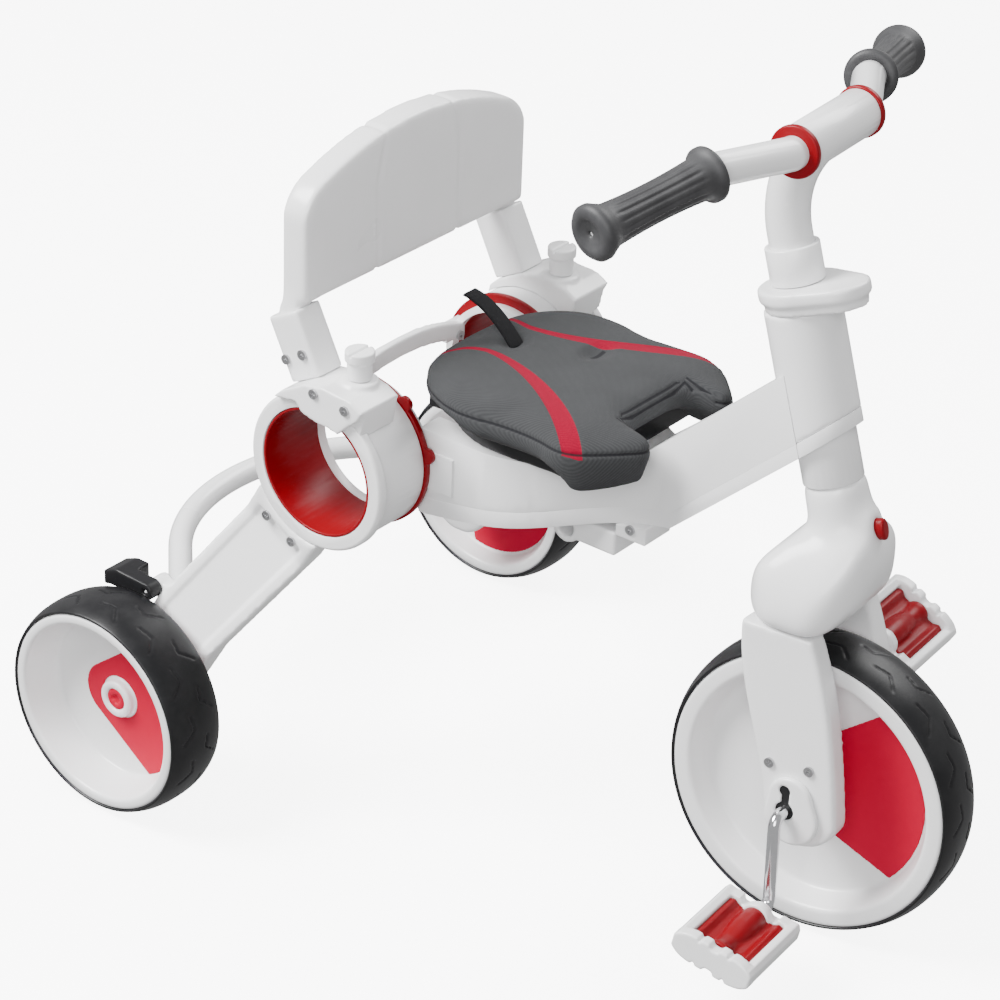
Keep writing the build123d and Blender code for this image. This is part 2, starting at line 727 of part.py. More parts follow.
SOCKET_X = 264.5
SOCKET_Z = 251.0
SOCKET_R = 12.0
SOCKET_BORE_R = 7.0
SOCKET_HALF_Y = 35.0
BLOCK_X = 309.0
BLOCK_L = 26.5
BLOCK_LOW_Z = 262.0
BLOCK_IN_Y = -4.0
BLOCK_SCREW_Z = 271.0


def socket_screw_places() -> list:
    """One bolt through the right face of the footrest block."""
    return [side_plane(BLOCK_X + BLOCK_L / 2, SOCKET_HALF_Y, BLOCK_SCREW_Z)]


def footrest_pieces() -> None:
    """Cross sleeve under the beam for a footrest bar, and its clamp block."""
    with BuildPart() as socket:
        with BuildSketch(side_plane(SOCKET_X, -SOCKET_HALF_Y, SOCKET_Z)):
            Circle(SOCKET_R)
            with Locations(((BLOCK_X - SOCKET_X) / 2, 2)):
                Rectangle(BLOCK_X - SOCKET_X, SOCKET_R * 1.6)
        extrude(amount=2 * SOCKET_HALF_Y)
        with BuildSketch(side_plane(SOCKET_X, -SOCKET_HALF_Y, SOCKET_Z)):
            with Locations((0, SOCKET_R)):
                Rectangle(SOCKET_R, 60)
        extrude(amount=2 * SOCKET_HALF_Y - 12)
        add(frame_under(), mode=Mode.SUBTRACT)
        with BuildSketch(Plane.XZ):
            with Locations((SOCKET_X, SOCKET_Z - 30 - SOCKET_R)):
                Rectangle(100, 60)
        extrude(amount=100, both=True, mode=Mode.SUBTRACT)
        with BuildSketch(side_plane(SOCKET_X, -SOCKET_HALF_Y, SOCKET_Z)):
            Circle(SOCKET_BORE_R)
        extrude(amount=2 * SOCKET_HALF_Y, mode=Mode.SUBTRACT)
    keep("footrest_socket", socket.part)
    with BuildPart() as block:
        with BuildSketch(Plane.XY.offset(BLOCK_LOW_Z)):
            with Locations((BLOCK_X + BLOCK_L / 2, (BLOCK_IN_Y - SOCKET_HALF_Y) / 2)):
                Rectangle(BLOCK_L, BLOCK_IN_Y + SOCKET_HALF_Y)
        extrude(amount=60)
        add(frame_under(), mode=Mode.SUBTRACT)
    keep("footrest_block", drilled(block.part, socket_screw_places()))


def frame_under() -> Part:
    """Everything above the beam's underside, as a cutting tool."""
    with BuildPart() as block:
        with BuildSketch(Plane.XZ):
            with BuildLine():
                Polyline(*seam_line(LIP), (FAR_X, FAR_X), (ARM_REAR_X, FAR_X), close=True)
            make_face()
        extrude(amount=FRAME_HALF_Y * 2, both=True)
    return block.part


# ---- seat ------------------------------------------------------------------------------
SEAT_FIT = 0.3
TRAY_Z = FRAME_TOP_Z + SEAT_FIT
PAD_Z = TRAY_Z + TRAY_T + SEAT_FIT
FLAP_DROP = 13.0
FLAP_IN_Y = 46.0
TRAY_FRONT_X = 300.0
TRAY_INSET = 9.0


def pad_outline(inset: float) -> Sketch:
    """Plan of the pad: wide at the hips, with a notch for the neck at the front."""
    half = PAD_HALF_Y - inset
    rear = PAD_REAR_X + inset
    front = PAD_FRONT_X - inset
    notch = NOTCH_HALF_Y + inset
    with BuildSketch(Plane.XY) as plan:
        with BuildLine():
            Spline((rear, 0), (rear + 16, half * 0.72), (rear + 60, half), (rear + 125, half * 0.97),
                   (front, half * 0.53), tangents=((0, 1), (0.4, -1)))
            Line((front, half * 0.53), (front, notch))
            Line((front, notch), (NOTCH_X - inset, notch))
            Line((NOTCH_X - inset, notch), (NOTCH_X - inset, 0))
            Line((NOTCH_X - inset, 0), (rear, 0))
        make_face()
        mirror(about=Plane.XZ)
    return plan.sketch


def seat_pieces() -> None:
    """Black tray, the padded cover on it, and the strap that stands up from it."""
    with BuildPart() as tray:
        add(pad_outline(TRAY_INSET))
        extrude(amount=TRAY_T)
        with BuildSketch(Plane.XY):
            with Locations((TRAY_FRONT_X + 100, 0)):
                Rectangle(200, PAD_HALF_Y * 2)
        extrude(amount=TRAY_T, mode=Mode.SUBTRACT)
    keep("seat_tray", Pos(0, 0, TRAY_Z) * tray.part)
    with BuildPart() as pad:
        add(pad_outline(0))
        extrude(amount=PAD_T)
        fillet(pad.faces().sort_by(Axis.Z)[-1].outer_wire().edges(), 5)
    with BuildPart() as flaps:
        add(pad_outline(0))
        extrude(amount=-FLAP_DROP)
        with BuildSketch(Plane.XY):
            Rectangle(2 * (TRAY_FRONT_X + 1), 4 * PAD_HALF_Y)
            with Locations((NECK_TOP_X, 0)):
                Rectangle(200, 2 * FLAP_IN_Y)
        extrude(amount=-FLAP_DROP, mode=Mode.SUBTRACT)
    with BuildPart() as cover:
        add(pad.part)
        add(flaps.part)
        with BuildSketch(Plane.XY):
            with Locations((STRAP_X, 0), (SLOT_X, SLOT_Y)):
                Rectangle(SLOT_W, SLOT_L)
        extrude(amount=PAD_T, mode=Mode.SUBTRACT)
    keep("seat_pad", Pos(0, 0, PAD_Z) * cover.part)
    with BuildPart() as strap:
        with BuildSketch(Plane.XZ):
            with BuildLine():
                Polyline((-1.5, PAD_T - 4), (1.5, PAD_T - 4), (0, PAD_T + 5), (-40, PAD_T + 26),
                         (-50, PAD_T + 29), (-50, PAD_T + 25), (-41, PAD_T + 22), (-5, PAD_T + 3),
                         (-2, PAD_T - 1), close=True)
            make_face()
        extrude(amount=7, both=True)
    keep("seat_strap", Pos(STRAP_X, 0, PAD_Z) * strap.part)


# ---- backrest --------------------------------------------------------------------------
LEAN_DIR = (math.sin(math.radians(-BRACKET_LEAN)), 0, math.cos(math.radians(BRACKET_LEAN)))


def bracket_plane(along: float) -> Plane:
    """Plane across the right bracket, a distance up its leaning axis."""
    base = Plane(origin=(BRACKET_X, -BRACKET_Y, BRACKET_Z), x_dir=(0, 1, 0), z_dir=LEAN_DIR)
    return base.offset(along)


def bracket_screw_places() -> list:
    """Two screws in the bracket's outer face."""
    y = BRACKET_Y + BRACKET_T / 2
    return [
        side_plane(BRACKET_X - 17.7, y, BRACKET_Z + 11.2),
        side_plane(BRACKET_X - 2.5, y, BRACKET_Z + 19.8),
    ]


def backrest_bracket() -> Part:
    """Square sleeve that holds one foot of the backrest."""
    with BuildPart() as bracket:
        with BuildSketch(bracket_plane(0)):
            RectangleRounded(BRACKET_T, BRACKET_W, 3)
        extrude(amount=BRACKET_L)
        with BuildSketch(bracket_plane(12)):
            RectangleRounded(BRACKET_T - 8, BRACKET_W - 8, 2)
        extrude(amount=BRACKET_L, mode=Mode.SUBTRACT)
    return drilled(bracket.part, bracket_screw_places())


def backrest() -> Part:
    """Curved-top panel with a foot at each end that plugs into its bracket."""
    mid_x = REST_FRONT_X - REST_T / 2
    corner_z = REST_TOP_Z - 32
    with BuildPart() as rest:
        with BuildSketch(Plane.YZ.offset(REST_FRONT_X - REST_T)):
            with BuildLine():
                Line((-REST_HALF_Y, REST_LOW_Z), (REST_HALF_Y, REST_LOW_Z))
                Line((REST_HALF_Y, REST_LOW_Z), (REST_HALF_Y, corner_z - 12))
                ThreePointArc((REST_HALF_Y, corner_z - 12), (REST_HALF_Y - 8, corner_z + 2),
                              (REST_HALF_Y - 24, corner_z + 12))
                ThreePointArc((REST_HALF_Y - 24, corner_z + 12), (0, REST_TOP_Z),
                              (24 - REST_HALF_Y, corner_z + 12))
                ThreePointArc((24 - REST_HALF_Y, corner_z + 12), (8 - REST_HALF_Y, corner_z + 2),
                              (-REST_HALF_Y, corner_z - 12))
                Line((-REST_HALF_Y, corner_z - 12), (-REST_HALF_Y, REST_LOW_Z))
            make_face()
        extrude(amount=REST_T)
        with BuildSketch(bracket_plane(12)) as foot:
            RectangleRounded(BRACKET_T - 8, BRACKET_W - 8, 2)
        with BuildSketch(Plane.XY.offset(REST_LOW_Z + 4)) as shoulder:
            with Locations((mid_x, -BRACKET_Y + 1)):
                RectangleRounded(REST_T - 2, BRACKET_T - 8, 2)
        with BuildSketch(bracket_plane(BRACKET_L)) as mouth:
            RectangleRounded(BRACKET_T - 8, BRACKET_W - 8, 2)
        extrude(foot.sketch, amount=BRACKET_L - 12)
        loft([mouth.sketch, shoulder.sketch])
    with BuildPart() as both:
        add(drilled(rest.part, bracket_screw_places()))
        mirror(about=Plane.XZ)
    return both.part


def clamp_screw_places() -> list:
    """Two screws on the clamp's sloping outer top."""
    return [side_plane(x, CLAMP_OUT_Y, z) for x, z in around_hub((2.6, 67), (31.6, 63.5))]


def around_hub(*points: tuple) -> list:
    """Points given from the hub's centre, in the side view."""
    return [(HUB_X + x, HUB_Z + z) for x, z in points]


def backrest_clamp() -> Part:
    """Saddle that rides on a hub ring and carries the bracket and the knob."""
    top = around_hub((-36.4, 51.5), (-28.4, 59), (-7.4, 70.5), (9.6, 73.5), (35.6, 71.5), (46.6, 65.5))
    foot = around_hub((40.6, 33.5), (-38.4, 40.5))
    lobes = around_hub((43.6, 59.5), (31.6, 48.5), (24.6, 41.5), (15.6, 43.5), (1.6, 44.5), (-9.4, 47.5),
                       (-15.4, 54.5), (-26.4, 52.5))
    with BuildPart() as saddle:
        with BuildSketch(side(CLAMP_IN_Y)):
            with BuildLine():
                Polyline(*top, *foot, close=True)
            make_face()
        extrude(amount=HUB_FACE_Y + GAP - CLAMP_IN_Y)
        with BuildSketch(side_plane(HUB_X, 0, HUB_Z)):
            Circle(RING_R + GAP)
        extrude(amount=CLAMP_OUT_Y, mode=Mode.SUBTRACT)
        with BuildSketch(side_plane(HUB_X, RING_OUT_Y - GAP, HUB_Z)):
            Circle(BEZEL_R + GAP)
        extrude(amount=CLAMP_OUT_Y, mode=Mode.SUBTRACT)
        with BuildSketch(side(HUB_FACE_Y + GAP)):
            with BuildLine():
                Polyline(*top, *lobes, close=True)
            make_face()
        extrude(amount=CLAMP_OUT_Y - HUB_FACE_Y - GAP)
        with BuildSketch(bracket_plane(0)):
            Rectangle(BRACKET_T + 1, BRACKET_W + 1)
        extrude(amount=BRACKET_L, mode=Mode.SUBTRACT)
        with BuildSketch(Plane.XY.offset(KNOB_Z - 8)):
            with Locations((KNOB_X, -BRACKET_Y)):
                Circle(KNOB_R + 3)
        extrude(amount=10)
        with BuildSketch(side_plane(HUB_X, 0, HUB_Z)):
            Circle(RING_R + GAP)
        extrude(amount=HUB_FACE_Y, mode=Mode.SUBTRACT)
        with BuildSketch(Plane.XY.offset(KNOB_Z - 12)):
            with Locations((KNOB_X, -BRACKET_Y)):
                Circle(4 + RUN_FIT)
        extrude(amount=20, mode=Mode.SUBTRACT)
    return drilled(saddle.part, clamp_screw_places())


def knob() -> Part:
    """Slotted clamp knob standing on the saddle."""
    base = KNOB_Z + 2 + GAP
    with BuildPart() as screw:
        with BuildSketch(Plane.XY.offset(base)):
            Circle(KNOB_STEM_R)
        extrude(amount=KNOB_H - 10)
        with BuildSketch(Plane.XY.offset(base + KNOB_H - 10)):
            Circle(KNOB_R)
        extrude(amount=8)
        with BuildSketch(Plane.XY.offset(base + KNOB_H - 5)):
            Rectangle(2, KNOB_R * 3)
        extrude(amount=5, mode=Mode.SUBTRACT)
        with BuildSketch(Plane.XY.offset(base)):
            Circle(4)
        extrude(amount=-10)
    return Pos(KNOB_X, -BRACKET_Y, 0) * screw.part


# ---- steered pieces, built straight ahead ----------------------------------------------
def fork_crown() -> Part:
    """Egg-shaped crown over both legs, with the collar under the head tube."""
    with BuildPart() as crown:
        with BuildSketch(Plane.XZ):
            with BuildLine():
                Line((STEER_X + 15, CROWN_LOW_Z), (STEER_X - 41, CROWN_LOW_Z))
                Spline((STEER_X - 41, CROWN_LOW_Z), (STEER_X - 48, CROWN_LOW_Z + 14),
                       (STEER_X - 37, CROWN_LOW_Z + 40),
                       (STEER_X - 19, CROWN_LOW_Z + 60))
                Line((STEER_X - 19, CROWN_LOW_Z + 60), (STEER_X + 28, CROWN_LOW_Z + 73))
                Spline((STEER_X + 28, CROWN_LOW_Z + 73), (STEER_X + 39, CROWN_LOW_Z + 50),
                       (STEER_X + 35, CROWN_LOW_Z + 24),
                       (STEER_X + 15, CROWN_LOW_Z))
            make_face()
        extrude(amount=FORK_OUT_Y + 5, both=True)
        with BuildSketch(Plane.YZ):
            with BuildLine():
                Spline((-CROWN_TOP_HALF, CROWN_LOW_Z + 70), (-38, CROWN_LOW_Z + 50),
                       (-FORK_OUT_Y - 4, CROWN_LOW_Z + 17), (-FORK_OUT_Y - 2, CROWN_LOW_Z))
                Line((-FORK_OUT_Y - 2, CROWN_LOW_Z), (FORK_OUT_Y + 2, CROWN_LOW_Z))
                Spline((FORK_OUT_Y + 2, CROWN_LOW_Z), (FORK_OUT_Y + 4, CROWN_LOW_Z + 17),
                       (38, CROWN_LOW_Z + 50), (CROWN_TOP_HALF, CROWN_LOW_Z + 70))
                Line((CROWN_TOP_HALF, CROWN_LOW_Z + 70), (-CROWN_TOP_HALF, CROWN_LOW_Z + 70))
            make_face()
        extrude(amount=FAR_X, mode=Mode.INTERSECT)
        with BuildSketch(Plane.XY):
            with Locations((STEER_X - 5, 0)):
                Ellipse(45, FORK_OUT_Y + 7)
        extrude(amount=FAR_X, mode=Mode.INTERSECT)
        with BuildSketch(STEER.offset(-30)):
            Circle(TUBE_R + 1)
        extrude(amount=30 + COLLAR_TOP)
        with BuildSketch(STEER.offset(BUTTON_S - 12)):
            with Locations((BUTTON_U - 12, 0)):
                RectangleRounded(24, 22, 5)
        extrude(amount=24)
        with BuildSketch(STEER.offset(-20)):
            Circle(STEERER_R)
        extrude(amount=60, mode=Mode.SUBTRACT)
        with BuildSketch(button_plane()):
            Ellipse(5 + GAP, 8 + GAP)
        extrude(amount=-9, mode=Mode.SUBTRACT)
    return crown.part


CROWN_LOW_Z = 250.0
CROWN_TOP_HALF = 23.0
BUTTON_U = 30.0
BUTTON_S = -21.0


def button_plane() -> Plane:
    """Front of the button's boss, facing forward."""
    origin = STEER.from_local_coords(Vector(BUTTON_U, 0, BUTTON_S))
    return Plane(origin=origin, x_dir=(0, 1, 0), z_dir=STEER.x_dir)


def lock_button() -> Part:
    """Red button that frees the pedals, pressed into the crown."""
    with BuildPart() as button:
        with BuildSketch(button_plane().offset(-9 + BUTTON_TRAVEL + GAP)):
            Ellipse(5, 8)
        extrude(amount=9 - BUTTON_TRAVEL - GAP + 4)
        fillet(button.faces().sort_by(Axis.X)[-1].edges(), 1.5)
    return button.part


def fork_outline() -> Sketch:
    """Side view of a fork leg, tapering back to a round foot at the axle."""
    rear_top = (STEER_X - 40, CROWN_LOW_Z)
    front_top = (STEER_X + 15, CROWN_LOW_Z)
    rear_foot = (FRONT_X - 20, FRONT_R - 2)
    front_foot = (FRONT_X + 38, FRONT_R - 6)
    with BuildSketch(Plane.XZ) as outline:
        with BuildLine():
            Spline(rear_top, (STEER_X - 38, CROWN_LOW_Z - 29), (STEER_X - 29, CROWN_LOW_Z - 66), rear_foot)
            ThreePointArc(rear_foot, (FRONT_X + 6, FRONT_R - 28), front_foot)
            Spline(front_foot, (FRONT_X + 34, FRONT_R + 26), (FRONT_X + 20, CROWN_LOW_Z - 41), front_top)
            Line(front_top, rear_top)
        make_face()
    return outline.sketch


def fork_leg() -> Part:
    """Right fork leg, with the bushing's keyhole opening."""
    with BuildPart() as leg:
        extrude(fork_outline(), amount=FORK_T)
        fillet(leg.faces().sort_by(Axis.Y)[0].edges().filter_by(Axis.X, reverse=True), 3)
    placed = Pos(0, FORK_T - FORK_OUT_Y, 0) * leg.part
    return drilled(cut(placed, keyhole(FORK_OUT_Y - FORK_T - 1, FORK_OUT_Y + 1)), fork_screw_places())


KEYHOLE_R = 7.0
KEYHOLE_SLOT = 6.0
KEYHOLE_TOP = 16.0


def keyhole(y_from: float, y_to: float) -> Part:
    """Round hole on the axle with a slot above it."""
    with BuildPart() as hole:
        with BuildSketch(side_plane(FRONT_X, y_from, FRONT_R)):
            Circle(KEYHOLE_R)
            with Locations((0, KEYHOLE_TOP / 2)):
                Rectangle(KEYHOLE_SLOT, KEYHOLE_TOP)
            with Locations((-1, KEYHOLE_TOP)):
                Circle(KEYHOLE_SLOT * 0.7)
        extrude(amount=y_to - y_from)
    return hole.part


def crank_bushings() -> Part:
    """Black liners of the two keyholes, which carry the crank."""
    with BuildPart() as liner:
        add(keyhole(FORK_OUT_Y - FORK_T, FORK_OUT_Y + COVER_T - 1))
        with BuildSketch(side_plane(FRONT_X, 0, FRONT_R)):
            Circle(CRANK_R + RUN_FIT)
        extrude(amount=FORK_OUT_Y * 2, mode=Mode.SUBTRACT)
    with BuildPart() as both:
        add(liner.part)
        mirror(liner.part, about=Plane.XZ)
    return both.part


def leg_covers() -> Part:
    """Raised oval cover round each keyhole."""
    with BuildPart() as cover:
        with BuildSketch(side(FORK_OUT_Y)):
            with Locations((FRONT_X + 5, FRONT_R - 5)):
                Circle(21)
            with Locations((FRONT_X + 3, FRONT_R + 10)):
                Circle(17)
            make_hull()
        extrude(amount=COVER_T)
        fillet(cover.faces().sort_by(Axis.Y)[0].outer_wire().edges(), 2)
        add(keyhole(FORK_OUT_Y - 1, FORK_OUT_Y + COVER_T + 1), mode=Mode.SUBTRACT)
    with BuildPart() as both:
        add(cover.part)
        mirror(cover.part, about=Plane.XZ)
    return both.part


def fork_screw_places() -> list:
    """Two screws above each leg cover."""
    return [
        side_plane(FRONT_X - 17, FORK_OUT_Y, FRONT_R + 32),
        side_plane(FRONT_X + 14, FORK_OUT_Y, FRONT_R + 36),
    ]


def stem() -> Part:
    """Steerer through the head, and the stem that curves up to the bar's sleeve."""
    top = HEAD_TOP + PLATE_STEP + PLATE_T + GAP
    start = STEER.from_local_coords(Vector(0, 0, top))
    bend = STEER.from_local_coords(Vector(0, 0, top + 34))
    with BuildPart() as post:
        with BuildSketch(STEER.offset(-20)):
            Circle(STEERER_R)
        extrude(amount=top + 20)
        with BuildLine(Plane.XZ) as path:
            Line((start.X, start.Z), (bend.X, bend.Z))
            TangentArc((bend.X, bend.Z), (SLEEVE_X, SLEEVE_Z), tangent=(STEER.z_dir.X, STEER.z_dir.Z))
        with BuildSketch(STEER.offset(top)):
            Circle(STEM_R)
        sweep(path=path.wires()[0])
        with BuildSketch(side_plane(SLEEVE_X, -SLEEVE_HALF, SLEEVE_Z)):
            Circle(SLEEVE_R)
        extrude(amount=2 * SLEEVE_HALF, mode=Mode.SUBTRACT)
    return post.part


def bar_places() -> list:
    """Corner points of the right half of the handlebar, from its middle out."""
    return [
        Vector(SLEEVE_X, 0, SLEEVE_Z),
        Vector(SLEEVE_X, -SLEEVE_HALF - 8, SLEEVE_Z),
        Vector(SLEEVE_X - 24.5, -104.5, SLEEVE_Z),
        Vector(SLEEVE_X - 52.8, -208.8, SLEEVE_Z - 16.8),
    ]


def handlebar() -> Part:
    """Bent tube through the sleeve."""
    points = bar_places()
    with BuildPart() as half:
        with BuildLine() as path:
            Polyline(*points)
        with BuildSketch(side_plane(SLEEVE_X, 0, SLEEVE_Z)):
            Circle(BAR_R)
        sweep(path=path.wires()[0], transition=Transition.ROUND)
    with BuildPart() as bar:
        add(half.part)
        mirror(half.part, about=Plane.XZ)
    return bar.part


def grip_plane() -> Plane:
    """Inner end of the right grip, facing outwards along the bar."""
    points = bar_places()
    along = (points[3] - points[2]).normalized()
    return Plane(origin=points[2] + along * GRIP_START, x_dir=(1, 0, 0), z_dir=along)


def grip() -> Part:
    """Rubber grip with a flange at each end, closed over the bar's end."""
    place = grip_plane()
    length = (bar_places()[3] - bar_places()[2]).length - GRIP_START
    with BuildPart() as sleeve:
        with BuildSketch(Plane.XZ):
            with BuildLine():
                Polyline((BAR_R, 0), (GRIP_FLANGE_R, 0), (GRIP_FLANGE_R, 5), (GRIP_R + 2, 9))
                Spline((GRIP_R + 2, 9), (GRIP_R, length / 2), (GRIP_R + 2, length - 9))
                Polyline((GRIP_R + 2, length - 9), (GRIP_FLANGE_R, length - 3), (GRIP_FLANGE_R, length + 3),
                         (4, length + 3), (4, length), (BAR_R, length), (BAR_R, 0))
            make_face()
        revolve(axis=Axis.Z)
    return place.location * sleeve.part


def bar_sleeve() -> Part:
    """Tee sleeve on top of the stem that clamps the bar."""
    return tube(side_plane(SLEEVE_X, -SLEEVE_HALF, SLEEVE_Z), SLEEVE_R, BAR_R, 2 * SLEEVE_HALF)


def sleeve_rings() -> Part:
    """Red rounded ring at each end of the sleeve."""
    with BuildPart() as ring:
        with BuildSketch(side_plane(SLEEVE_X, SLEEVE_HALF, SLEEVE_Z)):
            Circle(SLEEVE_R + 1.4)
            Circle(BAR_R, mode=Mode.SUBTRACT)
        extrude(amount=5)
        fillet(ring.edges().filter_by(GeomType.CIRCLE).sort_by(SortBy.RADIUS)[-2:], 1.5)
        mirror(about=Plane.XZ)
    return ring.part


def front_wheel() -> None:
    """Driven front wheel with its red wedges."""
    half = FRONT_WIDTH / 2
    hub_end = FORK_OUT_Y - FORK_T - GAP
    disc = (-5.0, 5.0)
    hub = (-hub_end, hub_end, 14.0, CRANK_R)
    tyre = wheel_tyre(FRONT_R, FRONT_WIDTH)
    rim = wheel_rim(FRONT_R, FRONT_WIDTH, 13.0, disc, 87.0, hub)
    with BuildPart() as wedges:
        add(wedge(FRONT_R, 86.0, 49.5, WEDGE_HOLE_R, disc[0], 8))
        add(wedge(FRONT_R, 86.0, 49.5, WEDGE_HOLE_R, disc[1] + WEDGE_T, 8))
    for label, part in (("front_tyre", tyre), ("front_rim", rim), ("front_wedges", wedges.part)):
        keep(label, Pos(FRONT_X, 0, 0) * part)


def crank_plane() -> Plane:
    """Plane of the cranks: local X runs out to the right, local Y along the lower arm."""
    down = math.radians(CRANK_LEAN)
    arm = Vector(math.sin(down), 0, -math.cos(down))
    return Plane(origin=(FRONT_X, 0, FRONT_R), x_dir=(0, -1, 0), z_dir=Vector(0, -1, 0).cross(arm))


def crank() -> Part:
    """Bent rod through the wheel with a pedal pin at each end."""
    end = PEDAL_IN_Y + PEDAL_L - 12
    with BuildPart() as half:
        with BuildLine(crank_plane()) as path:
            FilletPolyline((0, 0), (CRANK_OUT_Y, 0), (PEDAL_IN_Y - 9, CRANK_L), (end, CRANK_L), radius=8)
        with BuildSketch(Plane(origin=(FRONT_X, 0, FRONT_R), x_dir=(1, 0, 0), z_dir=(0, -1, 0))):
            Circle(CRANK_R)
        sweep(path=path.wires()[0])
    other = half.part.rotate(Axis((FRONT_X, 0, FRONT_R), (0, 1, 0)), 180)
    with BuildPart() as rod:
        add(half.part)
        mirror(other, about=Plane.XZ)
    return rod.part


def pedal_centre() -> Vector:
    """Middle of the right pedal's pin."""
    return crank_plane().from_local_coords(Vector(PEDAL_IN_Y + PEDAL_L / 2, CRANK_L, 0))


def pedal_cage() -> Part:
    """White pedal frame, centred on the origin with its pin along Y, inner end at +Y."""
    end_t = 9.0
    bar_t = 8.0
    with BuildPart() as cage:
        with BuildSketch(Plane.XY):
            Rectangle(PEDAL_W, PEDAL_L)
            Rectangle(PEDAL_W - 2 * bar_t, PEDAL_L - 2 * end_t, mode=Mode.SUBTRACT)
        extrude(amount=PEDAL_T / 2 - 2, both=True)
        with BuildSketch(Plane.XZ.offset(-PEDAL_L / 2)):
            Circle(PEDAL_T / 2)
        extrude(amount=end_t)
        with BuildSketch(Plane.XZ.offset(PEDAL_L / 2)):
            with Locations((0, PEDAL_T / 2)):
                Rectangle(14, 9)
        extrude(amount=-end_t, mode=Mode.SUBTRACT)
        with BuildSketch(Plane.XZ.offset(-PEDAL_L / 2 - 1)):
            Circle(CRANK_R + RUN_FIT)
        extrude(amount=PEDAL_L - 6, mode=Mode.SUBTRACT)
    return cage.part


def pedal_body() -> Part:
    """Red barrel with a wing to each side, inside the cage."""
    length = PEDAL_L - 18
    with BuildPart() as body:
        with BuildSketch(Plane.XZ.offset(-length / 2)):
            Circle(PEDAL_T / 2 - 1.5)
            Rectangle(PEDAL_W - 16, 11)
        extrude(amount=length)
        with BuildSketch(Plane.XZ.offset(-PEDAL_L)):
            Circle(CRANK_R + RUN_FIT)
        extrude(amount=2 * PEDAL_L, mode=Mode.SUBTRACT)
    return body.part


PEDAL_TILT_RIGHT = 11.0
PEDAL_TILT_LEFT = 30.0


def pedals() -> None:
    """Right pedal down and left pedal up, each tilted nose down."""
    low = pedal_centre()
    high = Vector(2 * FRONT_X - low.X, -low.Y, 2 * FRONT_R - low.Z)
    for name, build in (("pedal_body", pedal_body), ("pedal_cage", pedal_cage)):
        part = build()
        right = Pos(low) * Rot(0, PEDAL_TILT_RIGHT, 0) * part
        left = Pos(high) * Rot(0, PEDAL_TILT_LEFT, 0) * Rot(0, 0, 180) * part
        keep(f"{name}_right", right)
        keep(f"{name}_left", left)


def steered_pieces() -> list:
    """Build everything that turns with the bars, and give the list of its names."""
    before = set(pieces)
    keep("fork_crown", fork_crown())
    leg = fork_leg()
    keep("fork_leg_right", leg)
    keep("fork_leg_left", mirrored(leg))
    keep("leg_covers", leg_covers())
    keep("crank_bushings", crank_bushings())
    right_screws = screws(fork_screw_places())
    with BuildPart() as fork_screws:
        add(right_screws)
        mirror(right_screws, about=Plane.XZ)
    keep("fork_screws", fork_screws.part)
    keep("stem", stem())
    keep("stem_collar", tube(STEER.offset(HEAD_TOP + PLATE_STEP + PLATE_T + GAP), STEM_COLLAR_R, STEM_R,
                             STEM_COLLAR_L))
    keep("bar_sleeve", bar_sleeve())
    keep("sleeve_rings", sleeve_rings())
    keep("handlebar", handlebar())
    right_grip = grip()
    keep("grip_right", right_grip)
    keep("grip_left", mirrored(right_grip))
    keep("lock_button", lock_button())
    front_wheel()
    keep("crank", crank())
    pedals()
    return [name for name in pieces if name not in before]


def rear_pieces() -> None:
    """Hubs, legs, hoop, brakes and rear wheels."""
    core = hub_core()
    keep("hub_core_right", core)
    keep("hub_core_left", mirrored(core))
    ring = drilled(hub_ring(), leg_screw_places()[:2], depth=LEG_T + TONGUE_T + 1)
    keep("hub_ring_right", ring)
    keep("hub_ring_left", mirrored(ring))
    bezel = ring_bezel()
    with BuildPart() as bezels:
        add(bezel)
        mirror(bezel, about=Plane.XZ)
    keep("ring_bezels", bezels.part)
    with BuildPart() as leg:
        add(drilled(rear_leg(), leg_screw_places()))
        add(brake_ear())
    keep("rear_leg_right", leg.part)
    keep("rear_leg_left", mirrored(leg.part))
    keep("rear_hoop", cut(rear_hoop(), leg.part, mirrored(leg.part)))
    keep("rear_axles", rear_axles())
    leg_screws = screws(leg_screw_places())
    with BuildPart() as rear_screws:
        add(leg_screws)
        mirror(leg_screws, about=Plane.XZ)
    keep("rear_screws", rear_screws.part)
    rear_wheel(False, 1)
    rear_wheel(True, -40)
    lever = brake_lever()
    keep("brake_lever_right", lever)
    keep("brake_lever_left", mirrored(lever))


def backrest_pieces() -> None:
    """Folding backrest with its clamps and knobs."""
    clamp = backrest_clamp()
    keep("clamp_right", clamp)
    keep("clamp_left", mirrored(clamp))
    bracket = backrest_bracket()
    with BuildPart() as brackets:
        add(bracket)
        mirror(bracket, about=Plane.XZ)
    keep("backrest_brackets", brackets.part)
    keep("backrest", backrest())
    rest_screws = screws(bracket_screw_places() + clamp_screw_places())
    with BuildPart() as both:
        add(rest_screws)
        mirror(rest_screws, about=Plane.XZ)
    keep("backrest_screws", both.part)
    right_knob = knob()
    keep("knob_right", right_knob)
    keep("knob_left", mirrored(right_knob))


def frame_pieces() -> None:
    """The main frame with its head, crossbar, footrest socket and seat."""
    frame_shells()
    head_pieces()
    keep("crossbar", drilled(crossbar(), crossbar_screw_places(), depth=CROSSBAR_T + 1))
    footrest_pieces()
    seat_pieces()
    keep("frame_screws", screws(crossbar_screw_places() + socket_screw_places()))


frame_pieces()
rear_pieces()
backrest_pieces()
steered = steered_pieces()
for label in steered:
    keep(label, pieces[label].rotate(STEER_AXIS, STEER_REST))

boxes = [part.bounding_box() for part in pieces.values()]
SHIFT_X = -(min(box.min.X for box in boxes) + max(box.max.X for box in boxes)) / 2

